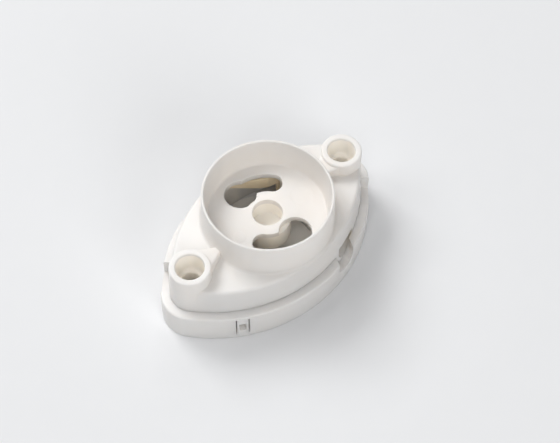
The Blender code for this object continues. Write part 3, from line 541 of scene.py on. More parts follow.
def brass(name, look):
    """Rolled brass strip with a fine grain and patches of tarnish."""
    made = Finish(name)
    cloud = made.noise(scale=420.0, detail=4.0, roughness=0.6)
    roll = made.noise(scale=1500.0, stretch=(1.0, 1.0, 14.0), shift=0.2)
    worn = cloud.ramp(0.42, 0.72)
    base = made.blend(worn * 0.6, rgba(look.brass), rgba(look.tarnish))
    rough = 0.42 + worn * 0.16 + roll * 0.10
    normal = made.node(
        "ShaderNodeBump", sockets={
            "Height": roll * ROLL_DEPTH + cloud * STAIN_DEPTH, "Distance": 1.0})
    return made.surface(
        {"Metallic": 0.1}, {"Base Color": base, "Roughness": rough, "Normal": normal})


def zinc(name, look, ribbed=False):
    """Zinc-plated steel, cloudy in places, with pressed ribs on a clamping plate."""
    made = Finish(name)
    cloud = made.noise(scale=520.0, detail=4.0, roughness=0.6)
    dull = cloud.ramp(0.4, 0.75)
    base = made.blend(dull * 0.7, rgba(look.zinc), rgba(look.zinc_dull))
    rough = 0.22 + dull * 0.24
    height = made.noise(scale=4200.0) * PLATING_GRAIN + cloud * PLATING_SWELL
    if ribbed:
        height = height + (made.y * (2 * math.pi / RIB_PITCH)).sine() * RIB_DEPTH
    normal = made.node("ShaderNodeBump", sockets={"Height": height, "Distance": 1.0})
    return made.surface(
        {"Metallic": 1.0}, {"Base Color": base, "Roughness": rough, "Normal": normal})


def scratch(name, bm):
    """Put a shape in the scene for as long as a Boolean needs it."""
    bmesh.ops.recalc_face_normals(bm, faces=bm.faces)
    mesh = bpy.data.meshes.new(name)
    bm.to_mesh(mesh)
    bm.free()
    made = bpy.data.objects.new(name, mesh)
    bpy.context.scene.collection.objects.link(made)
    return made


def carve(name, body, steps):
    """Join shapes to a body and cut them from it, one after another."""
    base = scratch(name, body)
    items = [base]
    for operation, shape in steps:
        tool = scratch(f"{name}_{len(items)}", shape)
        step = base.modifiers.new(operation.lower(), "BOOLEAN")
        step.operation = operation
        step.object = tool
        items.append(tool)
    bpy.context.view_layer.update()
    made = bmesh.new()
    made.from_object(base, bpy.context.evaluated_depsgraph_get())
    for item in items:
        mesh = item.data
        bpy.data.objects.remove(item)
        bpy.data.meshes.remove(mesh)
    if not made.faces:
        raise RuntimeError(f"{name} came out empty")
    return made


def join(*shapes):
    """Steps for carve that add shapes."""
    return [("UNION", shape) for shape in shapes]


def cut(*shapes):
    """Steps for carve that take shapes away."""
    return [("DIFFERENCE", shape) for shape in shapes]


def merged(*shapes):
    """Several shapes in one mesh, each still whole."""
    made = bmesh.new()
    for shape in shapes:
        mesh = bpy.data.meshes.new("merged")
        shape.to_mesh(mesh)
        shape.free()
        made.from_mesh(mesh)
        bpy.data.meshes.remove(mesh)
    return made


def twice(bm):
    """A shape and its copy at the other end of the holder."""
    copied = bmesh.ops.duplicate(bm, geom=bm.verts[:] + bm.edges[:] + bm.faces[:])["geom"]
    verts = [item for item in copied if isinstance(item, bmesh.types.BMVert)]
    bmesh.ops.rotate(bm, verts=verts, cent=(0, 0, 0), matrix=Matrix.Rotation(math.pi, 3, "Z"))
    return bm


def skin(loops):
    """Solid through closed loops of points that all have as many points."""
    bm = bmesh.new()
    rings = [[bm.verts.new(point) for point in loop] for loop in loops]
    count = len(rings[0])
    for first, second in zip(rings, rings[1:]):
        for index in range(count):
            following = (index + 1) % count
            bm.faces.new((first[index], first[following], second[following], second[index]))
    bm.faces.new(rings[0])
    bm.faces.new(rings[-1])
    return bm


def plan_solid(plan, levels):
    """Solid through the holder's outline, given as pairs of height and inset."""
    return skin([[(x, y, z) for x, y in plan.outline(inset)] for z, inset in levels])


def edge_levels(height, inset, radius, rising):
    """Levels of a rounded edge that ends at height, whose side stands at inset."""
    levels = []
    for step in range(EDGE_STEPS + 1):
        turn = math.pi / 2 * step / EDGE_STEPS
        turn = turn if rising else math.pi / 2 - turn
        drop = radius * (1 - math.sin(turn))
        levels.append((
            height - drop if rising else height + drop, inset + radius * (1 - math.cos(turn))))
    return levels


def lathe(profile, segments, x=0.0, y=0.0):
    """Solid turned about an upright axis, through pairs of radius and height."""
    turns = [2 * math.pi * step / segments for step in range(segments)]
    return skin([
        [(x + radius * math.cos(turn), y + radius * math.sin(turn), z) for turn in turns]
        for radius, z in profile])


def rod(radius, low, high, x=0.0, y=0.0, segments=SMALL_STEPS):
    """Upright cylinder."""
    return lathe([(radius, low), (radius, high)], segments, x, y)


def heading(turn):
    """Flat unit vector that points in a direction."""
    return Vector((math.cos(turn), math.sin(turn)))


def arc(centre, radius, first, last):
    """Points of a flat arc, from its first angle to its last."""
    return [
        centre + heading(first + (last - first) * step / SMALL_STEPS) * radius
        for step in range(SMALL_STEPS + 1)]


def corner(radius_at, height_at, radius, first, last):
    """Profile points round a small corner, between two angles in degrees."""
    points = []
    for step in range(EDGE_STEPS + 1):
        turn = math.radians(first + (last - first) * step / EDGE_STEPS)
        points.append((radius_at + radius * math.cos(turn), height_at + radius * math.sin(turn)))
    return points


def block(width, depth, low, high, x=0.0, y=0.0, turn=0.0):
    """Box between two heights, turned about its own upright axis."""
    bm = bmesh.new()
    bmesh.ops.create_cube(bm, size=1.0)
    bmesh.ops.scale(bm, vec=(width, depth, high - low), verts=bm.verts)
    place = Matrix.Translation((x, y, (low + high) / 2)) @ Matrix.Rotation(turn, 4, "Z")
    bmesh.ops.transform(bm, matrix=place, verts=bm.verts)
    return bm


def prism(outline, low, high):
    """Upright solid on a flat outline."""
    return skin([[(x, y, z) for x, y in outline] for z in (low, high)])


def mesh_from(name, bm, material):
    """Mesh with its round sides smooth and its edges sharp."""
    bmesh.ops.recalc_face_normals(bm, faces=bm.faces)
    mesh = bpy.data.meshes.new(name)
    bm.to_mesh(mesh)
    bm.free()
    mesh.shade_smooth()
    mesh.set_sharp_from_angle(angle=SHARP_ANGLE)
    mesh.materials.append(material)
    return mesh


def show(name, mesh, body, node, turned=False):
    """Add a finished piece, on its body and in place of its solid."""
    made = bpy.data.objects.new(name, mesh)
    bpy.context.scene.collection.objects.link(made)
    if turned:
        made.rotation_euler.z = math.pi
    even = made.modifiers.new("even_normals", "WEIGHTED_NORMAL")
    even.keep_sharp = True
    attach(made, body)
    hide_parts(node)
    return made


def show_pair(name, bm, material, bodies, node):
    """Add a piece and its twin at the other end."""
    mesh = mesh_from(name, bm, material)
    for side, body in zip(("right", "left"), bodies):
        show(f"{name}_{side}", mesh, body, f"{node}_{side}", turned=side == "left")


class Dimensions:
    """The sizes, and the places that follow from them, as the pieces share them."""

    def __init__(self, scene):
        self.plan = scene.holder_plan
        self.boss = scene.holder_boss
        self.tray = tray = scene.holder_tray
        self.housing = housing = scene.holder_housing
        self.cup = cup = scene.holder_cup
        self.contact = contact = scene.holder_contact
        self.terminal = terminal = scene.holder_terminal
        self.fit = fit = housing.fit
        self.screw_axis = (terminal.x, terminal.y)
        self.skirt_inset = tray.wall + fit
        self.shoulder_inset = self.skirt_inset + housing.side_draft
        self.cavity_inset = self.skirt_inset + housing.skirt_wall
        self.skirt_low = tray.floor + fit
        self.ceiling = housing.shoulder_height - housing.shoulder_plate
        self.cup_ceiling = cup.floor_height - cup.floor_plate
        self.root_top = (self.cup_ceiling + housing.shoulder_height) / 2
        normal = heading(contact.leaf_angle)
        self.along = Vector((normal.y, -normal.x))
        self.leaf_middle = normal * (contact.leaf_offset + contact.strip / 2)
        self.knee = self.leaf_middle + self.along * contact.leaf_knee
        self.arm_turn = contact.leaf_angle - math.pi / 2 + contact.arm_angle
        self.guide = self.on_arm(cup.bore_radius)
        self.nut_pocket = terminal.nut_width + 2 * fit
        self.pad_half = self.nut_pocket / 2 + terminal.pad_wall
        self.nut_bore = terminal.shank_radius + terminal.thread_clearance
        self.band_x = terminal.x + self.pad_half + fit + contact.strip / 2
        self.tab_top = terminal.pad_low - fit
        self.tab_low = self.tab_top - contact.tab_strip
        self.tab_half = terminal.clamp_width / 2 - fit
        self.fold_top = self.tab_top + contact.bend_radius / 2
        self.clamp_top = self.tab_low - fit
        self.head_top = self.clamp_top - terminal.clamp_thickness - fit
        hole = self.boss.counterbore_radius + self.boss.seat_edge / 2
        hole_high = self.boss.height - 2 * self.boss.edge
        # Hollows that get the painted glow: the cavity under the cup and the two fixing holes,
        # each as x, radius, low and high
        self.painted_glow_hollows = (
            (0.0, cup.bore_radius + cup.wall, tray.floor - 2 * fit, self.cup_ceiling - fit),
            (self.plan.half_centres, hole, 0.0, hole_high),
            (-self.plan.half_centres, hole, 0.0, hole_high))

    def on_arm(self, radius):
        """Point of the contact's arm at a distance from the cup's axis."""
        arm = heading(self.arm_turn)
        nearest = self.knee.dot(arm)
        reach = math.sqrt(nearest ** 2 - self.knee.length_squared + radius ** 2)
        return self.knee + arm * (reach - nearest)


def cup_solid(size):
    """The cup with its floor, rounded lip and fillets, cut off at the shoulder's edge."""
    cup, shoulder = size.cup, size.housing.shoulder_height
    lip = cup.lip / 2
    middle = cup.bore_radius + cup.wall - lip
    foot = cup.bore_radius + cup.wall + cup.draft + cup.foot_fillet
    floor, inner = cup.floor_height, cup.floor_fillet
    profile = corner(cup.bore_radius - inner, floor + inner, inner, -90, 0)
    profile += corner(middle, cup.height - lip, lip, 180, 90)
    profile += corner(middle, cup.height - lip, lip, 90, 0)[1:]
    profile += corner(foot, shoulder + cup.foot_fillet - SINK, cup.foot_fillet, 180, 270)
    profile.append((foot, shoulder - BITE))
    inset = size.shoulder_inset + cup.limit
    limit = plan_solid(size.plan, [(shoulder - 2 * BITE, inset), (cup.height + BITE, inset)])
    return carve("cup", lathe(profile, CUP_STEPS), [("INTERSECT", limit)])


def boss_solids(size):
    """Both fixing bosses, each with a rounded rim."""
    boss = size.boss
    low = size.tray.height + 2 * boss.draft + size.fit
    profile = [(boss.radius + boss.draft, low)]
    profile += corner(boss.radius - boss.edge, boss.height - boss.edge, boss.edge, 0, 90)
    return twice(lathe(profile, BOSS_STEPS, size.plan.half_centres))


def counterbore_solids(size):
    """Cutters for the wide and narrow parts of the fixing holes, with round mouth and step."""
    boss = size.boss
    floor = boss.height - boss.counterbore_depth
    mouth = boss.edge * MOUTH_SHARE
    soft = boss.seat_edge
    profile = [(boss.hole_radius, size.skirt_low - BITE)]
    profile += corner(boss.hole_radius + soft, floor - soft, soft, 180, 90)
    profile += corner(boss.counterbore_radius - soft, floor + soft, soft, -90, 0)
    profile += corner(
        boss.counterbore_radius + mouth, boss.height - mouth, mouth, 180, 90)
    profile += [(boss.counterbore_radius + mouth, boss.height + BITE)]
    return twice(lathe(profile, BOSS_STEPS, size.plan.half_centres))


def web_solids(size):
    """The bridges between the bosses and the cup, each with a rounded top."""
    cup, boss = size.cup, size.boss
    low = size.housing.shoulder_height - BITE
    top = boss.height - boss.web_drop
    edge = boss.web_edge
    reach = boss.radius - BITE
    ends = (
        (cup.bore_radius + cup.wall - BITE, boss.web_tip / 2, top - boss.web_fall),
        (size.plan.half_centres - reach * math.cos(boss.web_spread),
         reach * math.sin(boss.web_spread), top))
    loops = []
    for x, half, high in ends:
        section = [(-half, low), (half, low)]
        section += corner(half - edge, high - edge, edge, 0, 90)
        section += corner(edge - half, high - edge, edge, 90, 180)
        loops.append([(x, y, z) for y, z in section])
    return twice(skin(loops))


def keyhole_solids(size):
    """Cutters for both keyholes: a round entry that runs clockwise into a slot."""
    cup = size.cup
    half = cup.slot_width / 2
    circle = cup.pin_circle + cup.slot_shift
    start, end = cup.entry_angle, cup.end_angle
    middle = Vector((0.0, 0.0))
    points = arc(middle, circle + half, start, end)
    points += arc(heading(end) * circle, half, end, end - math.pi)[1:-1]
    points += arc(middle, circle - half, end, start)
    low = size.cup_ceiling - BITE
    high = cup.floor_height + BITE
    x = cup.pin_circle * math.cos(start)
    y = cup.pin_circle * math.sin(start)
    entry = rod(cup.entry_radius, low, high, x, y, BOSS_STEPS)
    return twice(carve("keyhole", prism(points, low, high), join(entry)))


def inner_supports(size):
    """Posts, nut pads and contact guides under the shoulder."""
    terminal, contact = size.terminal, size.contact
    post = rod(
        size.boss.post_radius, size.skirt_low, size.ceiling + BITE, size.plan.half_centres,
        0.0, BOSS_STEPS)
    width = 2 * size.pad_half
    pad = block(width, width, terminal.pad_low, size.root_top, *size.screw_axis)
    across = contact.strip + 2 * size.fit + 2 * contact.guide_wall
    guide = block(
        contact.guide_length, across, contact.guide_low, size.root_top, *size.guide,
        size.arm_turn)
    return join(twice(post), twice(pad), twice(guide))


def inner_cuts(size):
    """Nut pockets, holes for the screws' tips, and the guides' slots."""
    terminal, contact, fit = size.terminal, size.contact, size.fit
    nut_top = terminal.pad_low + terminal.nut_thickness
    pocket = block(
        size.nut_pocket, size.nut_pocket, terminal.pad_low - BITE, nut_top + fit,
        *size.screw_axis)
    tip = rod(
        size.nut_bore + fit, nut_top, size.head_top + terminal.shank_length + fit,
        *size.screw_axis)
    slot = block(
        contact.guide_length + 2 * BITE, contact.strip + 2 * fit, contact.guide_low - BITE,
        size.ceiling + BITE / 2, *size.guide, size.arm_turn)
    return cut(twice(pocket), twice(tip), twice(slot))


def into_wall(size, bm, turn, inset, aim):
    """Move a shape from the origin into the wall of the -Y side, aim it, and add its twin."""
    middle = size.plan.on_arc(turn, inset)
    place = Matrix.Translation((*middle, 0)) @ Matrix.Rotation(aim, 4, "Z")
    bmesh.ops.transform(bm, matrix=place, verts=bm.verts)
    return twice(bm)


def latch_noses(size):
    """Noses on the skirt that snap into the tray's windows, sloped below."""
    tray, fit = size.tray, size.fit
    low = tray.window_low + fit
    high = tray.window_low + tray.window_height - fit
    reach = tray.wall * NOSE_SHARE + fit
    depth = reach + BITE
    bm = block(tray.window_width - 2 * fit, depth, low, high)
    for vert in bm.verts:
        if vert.co.y < 0 and vert.co.z < (low + high) / 2:
            vert.co.y += reach
    inset = size.skirt_inset - reach + depth / 2
    return into_wall(size, bm, tray.latch_angle, inset, tray.latch_angle)


def wire_channels(size, entry, top):
    """Cutters with a round bottom that let a wire in through the tray or the housing."""
    half = entry.wire_width / 2
    outline = [(half, top), (-half, top)]
    for step in range(SMALL_STEPS + 1):
        turn = math.pi * (1 - step / SMALL_STEPS)
        outline.append((half * math.cos(turn), entry.wire_sill + half - half * math.sin(turn)))
    reach = size.cavity_inset + BITE + half
    bm = skin([[(x, y, z) for x, z in outline] for y in (-reach, reach)])
    return into_wall(size, bm, entry.wire_angle, size.cavity_inset / 2, entry.wire_aim)


def wall_cutter(size, width, low, high, turn, sideways=0.0):
    """Box through the tray's wall on the -Y side, shifted along the wall."""
    wall = size.tray.wall
    middle = size.plan.on_arc(turn, wall / 2) + heading(turn) * sideways
    return block(width, wall + 2 * BITE, low, high, *middle, turn)


def housing_solid(size):
    """The whole housing moulding."""
    housing, cup = size.housing, size.cup
    shoulder = housing.shoulder_height
    levels = [(size.skirt_low, size.skirt_inset), (size.tray.height, size.skirt_inset)]
    levels += edge_levels(shoulder, size.shoulder_inset, housing.shoulder_edge, True)
    cavity = [(size.skirt_low - BITE, size.cavity_inset), (size.ceiling, size.cavity_inset)]
    pocket_low = cup.floor_height - cup.pocket_depth
    hub = rod(
        cup.pocket_radius + cup.hub_wall, pocket_low - cup.hub_base, size.cup_ceiling + BITE,
        segments=BOSS_STEPS)
    inner = cup.pocket_fillet
    pocket = [(cup.pocket_radius - inner, pocket_low)]
    pocket += corner(cup.pocket_radius - inner, pocket_low + inner, inner, -90, 0)
    pocket += [(cup.pocket_radius, cup.floor_height + BITE)]
    above = rod(cup.bore_radius, size.ceiling - BITE, size.cup_ceiling, segments=CUP_STEPS)
    steps = join(cup_solid(size), boss_solids(size), web_solids(size))
    steps += cut(plan_solid(size.plan, cavity), above)
    steps += inner_supports(size)
    steps += join(hub, latch_noses(size))
    steps += cut(keyhole_solids(size), lathe(pocket, BOSS_STEPS), counterbore_solids(size))
    steps += inner_cuts(size)
    steps += cut(wire_channels(size, housing, housing.wire_top))
    return carve("housing_body", plan_solid(size.plan, levels), steps)


def tray_solid(size):
    """The whole base tray moulding."""
    tray, contact = size.tray, size.contact
    levels = edge_levels(0.0, 0.0, tray.edge, False)
    levels += edge_levels(tray.height, 0.0, tray.edge, True)
    wall = tray.wall + tray.lip
    inside = [(tray.floor, wall), (tray.height + BITE, wall)]
    peg = lathe(
        [(contact.support_radius, tray.floor - BITE),
         (contact.support_top, contact.stem_low - size.fit)],
        SMALL_STEPS, *size.guide)
    hole = rod(
        tray.hole_radius, -BITE, tray.floor + BITE, size.plan.half_centres, 0.0, BOSS_STEPS)
    slits = merged(*(
        wall_cutter(
            size, tray.latch_slit, tray.latch_low, tray.height - tray.latch_rim,
            tray.latch_angle, side * (tray.latch_finger + tray.latch_slit) / 2)
        for side in (-1, 1)))
    window = wall_cutter(
        size, tray.window_width, tray.window_low, tray.window_low + tray.window_height,
        tray.latch_angle)
    notch = wall_cutter(
        size, tray.notch_length, tray.notch_sill, tray.height + BITE, tray.notch_angle)
    steps = cut(plan_solid(size.plan, inside)) + join(twice(peg))
    steps += cut(
        twice(hole), wire_channels(size, tray, tray.height + BITE), twice(slits),
        twice(window), twice(notch))
    return carve("tray_body", plan_solid(size.plan, levels), steps)


def rounded_path(corners, radius):
    """Path through corners, with an arc of one radius at each inner corner."""
    points = [corners[0]]
    for before, middle, after in zip(corners, corners[1:], corners[2:]):
        incoming = (middle - before).normalized()
        outgoing = (after - middle).normalized()
        turn = incoming.angle_signed(outgoing)
        start = middle - incoming * (radius * math.tan(abs(turn) / 2))
        side = Vector((-incoming.y, incoming.x)) * (-1 if turn > 0 else 1)
        centre = start + side * radius
        for step in range(BEND_STEPS + 1):
            spoke = Matrix.Rotation(-turn * step / BEND_STEPS, 2) @ (start - centre)
            points.append(centre + spoke)
    points.append(corners[-1])
    return points


def strip_solid(points, thickness, place):
    """Bent strip along a flat path. Place turns a path point and an edge, 0 or 1, into space."""
    loops = []
    for index, point in enumerate(points):
        before = points[max(index - 1, 0)]
        after = points[min(index + 1, len(points) - 1)]
        along = (after - before).normalized()
        side = Vector((-along.y, along.x)) * (thickness / 2)
        loops.append([
            place(point + side, 0), place(point - side, 0),
            place(point - side, 1), place(point + side, 1)])
    return skin(loops)


def contact_solid(size):
    """One brass strip: leaf with a sloped edge, arm in its guide, terminal tab and foot."""
    contact, terminal = size.contact, size.terminal
    leaf_end = size.leaf_middle - size.along * contact.leaf_reach
    bend_y = size.knee.y + (size.band_x - size.knee.x) * math.tan(size.arm_turn)
    foot_y = terminal.y - size.tab_half - contact.relief
    foot = Vector((size.band_x, foot_y - contact.bend_radius))
    wall_turn = math.asin(size.band_x / size.plan.arc_radius)
    along_wall = Vector((-math.cos(wall_turn), -math.sin(wall_turn)))
    corners = [
        leaf_end, size.knee, Vector((size.band_x, bend_y)), foot,
        foot + along_wall * contact.foot_length]
    low, high = size.skirt_low, contact.leaf_top
    strip = strip_solid(
        rounded_path(corners, contact.bend_radius), contact.strip,
        lambda point, edge: (point.x, point.y, high if edge else low))

    far = size.plan.half_centres
    step_x = size.on_arm(size.cup.bore_radius - contact.guide_wall).x
    above = block(
        far - step_x, 2 * far, size.ceiling - size.fit, high + BITE, (far + step_x) / 2)
    leaf = block(far + step_x, 2 * far, low - BITE, contact.leaf_low, (step_x - far) / 2)
    slope = block(far, far, -far, 0.0)
    bmesh.ops.transform(slope, verts=slope.verts, matrix=(
        Matrix.Translation((*size.leaf_middle, contact.leaf_low))
        @ Matrix.Rotation(contact.leaf_angle - math.pi / 2, 4, "Z")
        @ Matrix.Rotation(contact.leaf_slope, 4, "Y") @ Matrix.Translation((-far / 2, 0, 0))))
    stem = block(
        2 * far, far, low - BITE, contact.stem_low, 0.0, terminal.y + size.tab_half + far / 2)
    fold = block(
        4 * contact.guide_wall, 2 * (size.tab_half + contact.relief), low - BITE,
        size.fold_top, size.band_x, terminal.y)

    level = size.tab_low + contact.tab_strip / 2
    tab_path = rounded_path([
        Vector((size.band_x, size.fold_top + 2 * contact.bend_radius)),
        Vector((size.band_x, level)),
        Vector((terminal.x - size.tab_half, level))], contact.fold_radius)
    sides = (terminal.y - size.tab_half, terminal.y + size.tab_half)
    tab = strip_solid(
        tab_path, contact.tab_strip, lambda point, edge: (point.x, sides[edge], point.y))
    hole = rod(
        size.nut_bore + size.fit, size.tab_low - BITE, size.tab_top + BITE, *size.screw_axis)
    steps = cut(above, leaf, slope, stem, fold) + join(tab) + cut(hole)
    return carve("contact", strip, steps)


def nut_solid(size):
    """Square nut with chamfered corners and a countersunk bore."""
    terminal = size.terminal
    low = terminal.pad_low
    high = low + terminal.nut_thickness
    body = block(terminal.nut_width, terminal.nut_width, low, high, *size.screw_axis)
    wide = terminal.nut_width / math.sqrt(2)
    drop = terminal.nut_chamfer
    crown = lathe(
        [(wide - 3 * drop, low), (wide + drop, low + drop * CROWN_SHARE),
         (wide + drop, high - drop), (wide - drop, high)],
        SMALL_STEPS, *size.screw_axis)
    flare = terminal.thread_depth
    bore = lathe(
        [(size.nut_bore + flare, low - BITE / 3), (size.nut_bore, low + flare),
         (size.nut_bore, high - flare), (size.nut_bore + flare, high + BITE / 3)],
        SMALL_STEPS, *size.screw_axis)
    return carve("nut", body, [("INTERSECT", crown), *cut(bore)])


def clamp_solid(size):
    """Square clamping plate with rounded corners and a lip that keeps the wire in."""
    terminal = size.terminal
    half = terminal.clamp_width / 2
    low = size.clamp_top - terminal.clamp_thickness
    rounding = terminal.clamp_thickness / 2
    outline = []
    for x, y, first in ((1, 1, 0), (-1, 1, 90), (-1, -1, 180), (1, -1, 270)):
        outline += corner(
            terminal.x + x * (half - rounding), terminal.y + y * (half - rounding), rounding,
            first, first + 90)
    lip_top = size.tab_low + size.contact.tab_strip / 2
    lip_low = low + size.fit / 2
    lip = block(
        terminal.clamp_lip, terminal.clamp_width - 2 * BITE, lip_low, lip_top,
        terminal.x - size.tab_half - size.fit - terminal.clamp_lip / 2, terminal.y)
    hole = rod(terminal.clamp_hole, low - BITE, size.clamp_top + BITE, *size.screw_axis)
    return carve("clamp", prism(outline, low, size.clamp_top), join(lip) + cut(hole))


def screw_solid(size):
    """Slotted cheese-head screw with its thread, its head towards the tray."""
    terminal = size.terminal
    top, edge = size.head_top, terminal.head_edge
    low = top - terminal.head_height
    tip = top + terminal.shank_length
    root = terminal.shank_radius - terminal.thread_depth
    profile = corner(terminal.head_radius - edge, low + edge, edge, -90, 0)
    profile += [
        (terminal.head_radius, top - edge / 3), (terminal.head_radius - edge / 3, top),
        (root, top), (root, tip - edge), (root - edge, tip)]
    body = lathe(profile, BOSS_STEPS, *size.screw_axis)
    slot = block(
        2 * (terminal.head_radius + BITE), terminal.slot_width, low - BITE,
        low + terminal.slot_depth, *size.screw_axis, terminal.slot_turn)
    head = carve("screw", body, cut(slot))
    turns = (terminal.shank_length - 3 * edge) / terminal.thread_pitch
    count = int(turns * SMALL_STEPS)
    half = terminal.thread_pitch * THREAD_SHARE
    loops = []
    for step in range(count + 1):
        turn = 2 * math.pi * step / SMALL_STEPS
        z = top + edge + terminal.thread_pitch * step / SMALL_STEPS
        grow = min(1.0, step / SMALL_STEPS, (count - step) / SMALL_STEPS)
        crest = root + terminal.thread_depth * grow
        loops.append([
            (terminal.x + radius * math.cos(turn), terminal.y + radius * math.sin(turn), height)
            for radius, height in (
                (root - edge / 3, z - half), (crest, z - half / 6),
                (crest, z + half / 6), (root - edge / 3, z + half))])
    return merged(head, skin(loops))


def lamp(name, power, place):
    """Square soft lamp that faces the holder."""
    light = bpy.data.lights.new(name, "AREA")
    light.shape = "SQUARE"
    light.size = LAMP_SIZE
    light.energy = power
    made = bpy.data.objects.new(name, light)
    bpy.context.scene.collection.objects.link(made)
    made.location = place
    made.rotation_euler = (-Vector(place)).to_track_quat("-Z", "Y").to_euler()


class HOLDER_OT_housing(Operator):
    """Make the moulded housing with its cup, keyholes and fixing bosses."""
    bl_idname = "holder.housing"
    bl_label = "Housing"

    def execute(self, context):
        scene = context.scene
        size = Dimensions(scene)
        look = scene.holder_plastic
        material = plastic("white_plastic_housing", look, size.painted_glow_hollows, look.edge, MOULD_MARKS)
        mesh = mesh_from("housing_moulding", housing_solid(size), material)
        show("housing_moulding", mesh, "holder", "housing")
        return {"FINISHED"}


class HOLDER_OT_tray(Operator):
    """Make the snap-on base tray with its wire entries, latches and release notches."""
    bl_idname = "holder.tray"
    bl_label = "Base Tray"

    def execute(self, context):
        scene = context.scene
        size = Dimensions(scene)
        look = scene.holder_plastic
        material = plastic("white_plastic_tray", look, size.painted_glow_hollows, look.tray_edge)
        mesh = mesh_from("tray_moulding", tray_solid(size), material)
        show("tray_moulding", mesh, "holder", "base_tray")
        return {"FINISHED"}


class HOLDER_OT_contacts(Operator):
    """Make the two spring contacts from bent brass strip."""
    bl_idname = "holder.contacts"
    bl_label = "Spring Contacts"

    def execute(self, context):
        scene = context.scene
        material = brass("brass_strip", scene.holder_metal)
        show_pair(
            "contact_strip", contact_solid(Dimensions(scene)), material,
            ("holder", "holder"), "contact")
        return {"FINISHED"}


class HOLDER_OT_nuts(Operator):
    """Make the two square terminal nuts."""
    bl_idname = "holder.nuts"
    bl_label = "Terminal Nuts"

    def execute(self, context):
        scene = context.scene
        material = zinc("zinc_nut", scene.holder_metal)
        show_pair(
            "square_nut", nut_solid(Dimensions(scene)), material, ("holder", "holder"),
            "terminal_nut")
        return {"FINISHED"}


class HOLDER_OT_clamps(Operator):
    """Make the two wire clamping plates."""
    bl_idname = "holder.clamps"
    bl_label = "Clamping Plates"

    def execute(self, context):
        scene = context.scene
        material = zinc("zinc_clamp", scene.holder_metal, ribbed=True)
        show_pair(
            "wire_clamp", clamp_solid(Dimensions(scene)), material,
            ("clamp_right", "clamp_left"), "clamp_plate")
        return {"FINISHED"}


class HOLDER_OT_screws(Operator):
    """Make the two slotted terminal screws."""
    bl_idname = "holder.screws"
    bl_label = "Terminal Screws"

    def execute(self, context):
        scene = context.scene
        material = zinc("zinc_screw", scene.holder_metal)
        show_pair(
            "cheese_head_screw", screw_solid(Dimensions(scene)), material,
            ("screw_right", "screw_left"), "terminal_screw")
        return {"FINISHED"}


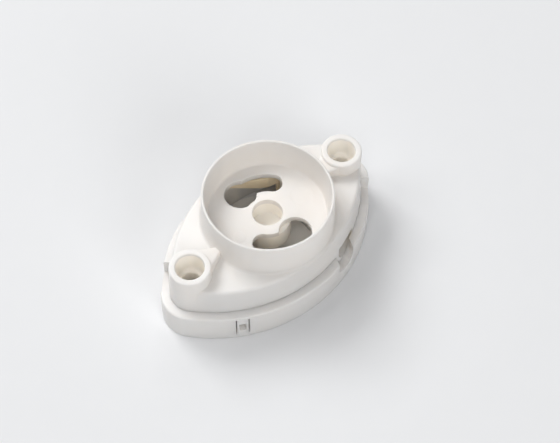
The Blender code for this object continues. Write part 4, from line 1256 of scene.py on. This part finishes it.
class HOLDER_OT_stage(Operator):
    """Set the pale floor, the soft light and the camera."""
    bl_idname = "holder.stage"
    bl_label = "Stage"

    def execute(self, context):
        scene = context.scene
        look = scene.holder_stage
        self.add_floor(look)
        self.add_world(scene, look)
        for name, strength, power, place in LAMPS:
            lamp(name, power * getattr(look, strength), place)
        self.add_camera(scene, look)
        scene.view_settings.view_transform = "Standard"
        return {"FINISHED"}

    def add_floor(self, look):
        made = Finish("stage_floor")
        cloud = made.noise(scale=180.0, detail=3.0, roughness=0.6).ramp(0.3, 0.7)
        tone = made.blend(cloud * 0.12, rgba(look.floor), rgba(look.floor_cloud))
        bm = bmesh.new()
        bmesh.ops.create_grid(bm, x_segments=1, y_segments=1, size=FLOOR_REACH)
        shader = made.node(
            "ShaderNodeBsdfDiffuse", sockets={"Color": tone, "Roughness": 0.5})
        made.node("ShaderNodeOutputMaterial", sockets={"Surface": shader})
        floor = bpy.data.objects.new(
            "stage_floor", mesh_from("stage_floor", bm, made.material))
        floor.location.z = -SINK
        bpy.context.scene.collection.objects.link(floor)

    def add_world(self, scene, look):
        world = bpy.data.worlds.new("soft_surround")
        world.use_nodes = True
        scene.world = world
        made = Nodes(world.node_tree)
        seen = made.node("ShaderNodeLightPath", output="Is Camera Ray")
        for ray in ("Is Glossy Ray", "Is Transmission Ray"):
            seen = seen.larger(made.node("ShaderNodeLightPath", output=ray))
        light = made.node(
            "ShaderNodeBackground",
            sockets={"Color": rgba(look.sky), "Strength": look.ambient})
        pale = made.node(
            "ShaderNodeBackground", sockets={"Color": rgba(look.floor), "Strength": 1.0})
        mix = made.node("ShaderNodeMixShader", sockets={0: seen, 1: light, 2: pale})
        made.node("ShaderNodeOutputWorld", sockets={"Surface": mix})

    def add_camera(self, scene, look):
        turn, rise = look.view_angle, look.view_rise
        back = Vector((
            math.sin(turn) * math.cos(rise), -math.cos(turn) * math.cos(rise), math.sin(rise)))
        right = Vector((math.cos(turn), math.sin(turn), 0.0))
        up = back.cross(right)
        target = Vector((0.0, 0.0, look.aim_height)) + right * look.aim_right + up * look.aim_up
        lens = bpy.data.cameras.new("camera")
        lens.sensor_width = SENSOR_WIDTH
        lens.lens = look.focal_pixels / IMAGE_WIDTH * lens.sensor_width
        lens.shift_x = (IMAGE_WIDTH / 2 - look.axis_x) / IMAGE_WIDTH
        lens.shift_y = (look.axis_y - IMAGE_HEIGHT / 2) / IMAGE_WIDTH
        lens.clip_start = CLIP_START
        made = bpy.data.objects.new("camera", lens)
        scene.collection.objects.link(made)
        axes = Matrix((right, up, back)).transposed().to_4x4()
        made.matrix_world = Matrix.Translation(target + back * look.distance) @ axes
        scene.camera = made


PIECES = (
    HOLDER_OT_housing, HOLDER_OT_tray, HOLDER_OT_contacts, HOLDER_OT_nuts, HOLDER_OT_clamps,
    HOLDER_OT_screws, HOLDER_OT_stage)


class HOLDER_PT_sidebar(Panel):
    """Lists the sizes, the looks and the pieces of the holder."""
    bl_idname = "HOLDER_PT_sidebar"
    bl_label = "Starter Holder"
    bl_space_type = "VIEW_3D"
    bl_region_type = "UI"
    bl_category = "Starter Holder"

    def draw(self, context):
        for operator in PIECES:
            self.layout.operator(operator.bl_idname)
        for attribute, group in GROUPS.items():
            box = self.layout.box()
            box.label(text=group.__doc__)
            for name in group.__annotations__:
                box.prop(getattr(context.scene, attribute), name)


CLASSES = (*GROUPS.values(), *PIECES, HOLDER_PT_sidebar)


def register():
    for item in CLASSES:
        bpy.utils.register_class(item)
    for attribute, group in GROUPS.items():
        setattr(bpy.types.Scene, attribute, PointerProperty(type=group))


def unregister():
    for attribute in GROUPS:
        delattr(bpy.types.Scene, attribute)
    for item in reversed(CLASSES):
        bpy.utils.unregister_class(item)


def main():
    """Register the add-on, and make every piece and the stage."""
    register()
    bpy.ops.holder.housing()
    bpy.ops.holder.tray()
    bpy.ops.holder.contacts()
    bpy.ops.holder.nuts()
    bpy.ops.holder.clamps()
    bpy.ops.holder.screws()
    bpy.ops.holder.stage()


if __name__ == "__main__":
    main()
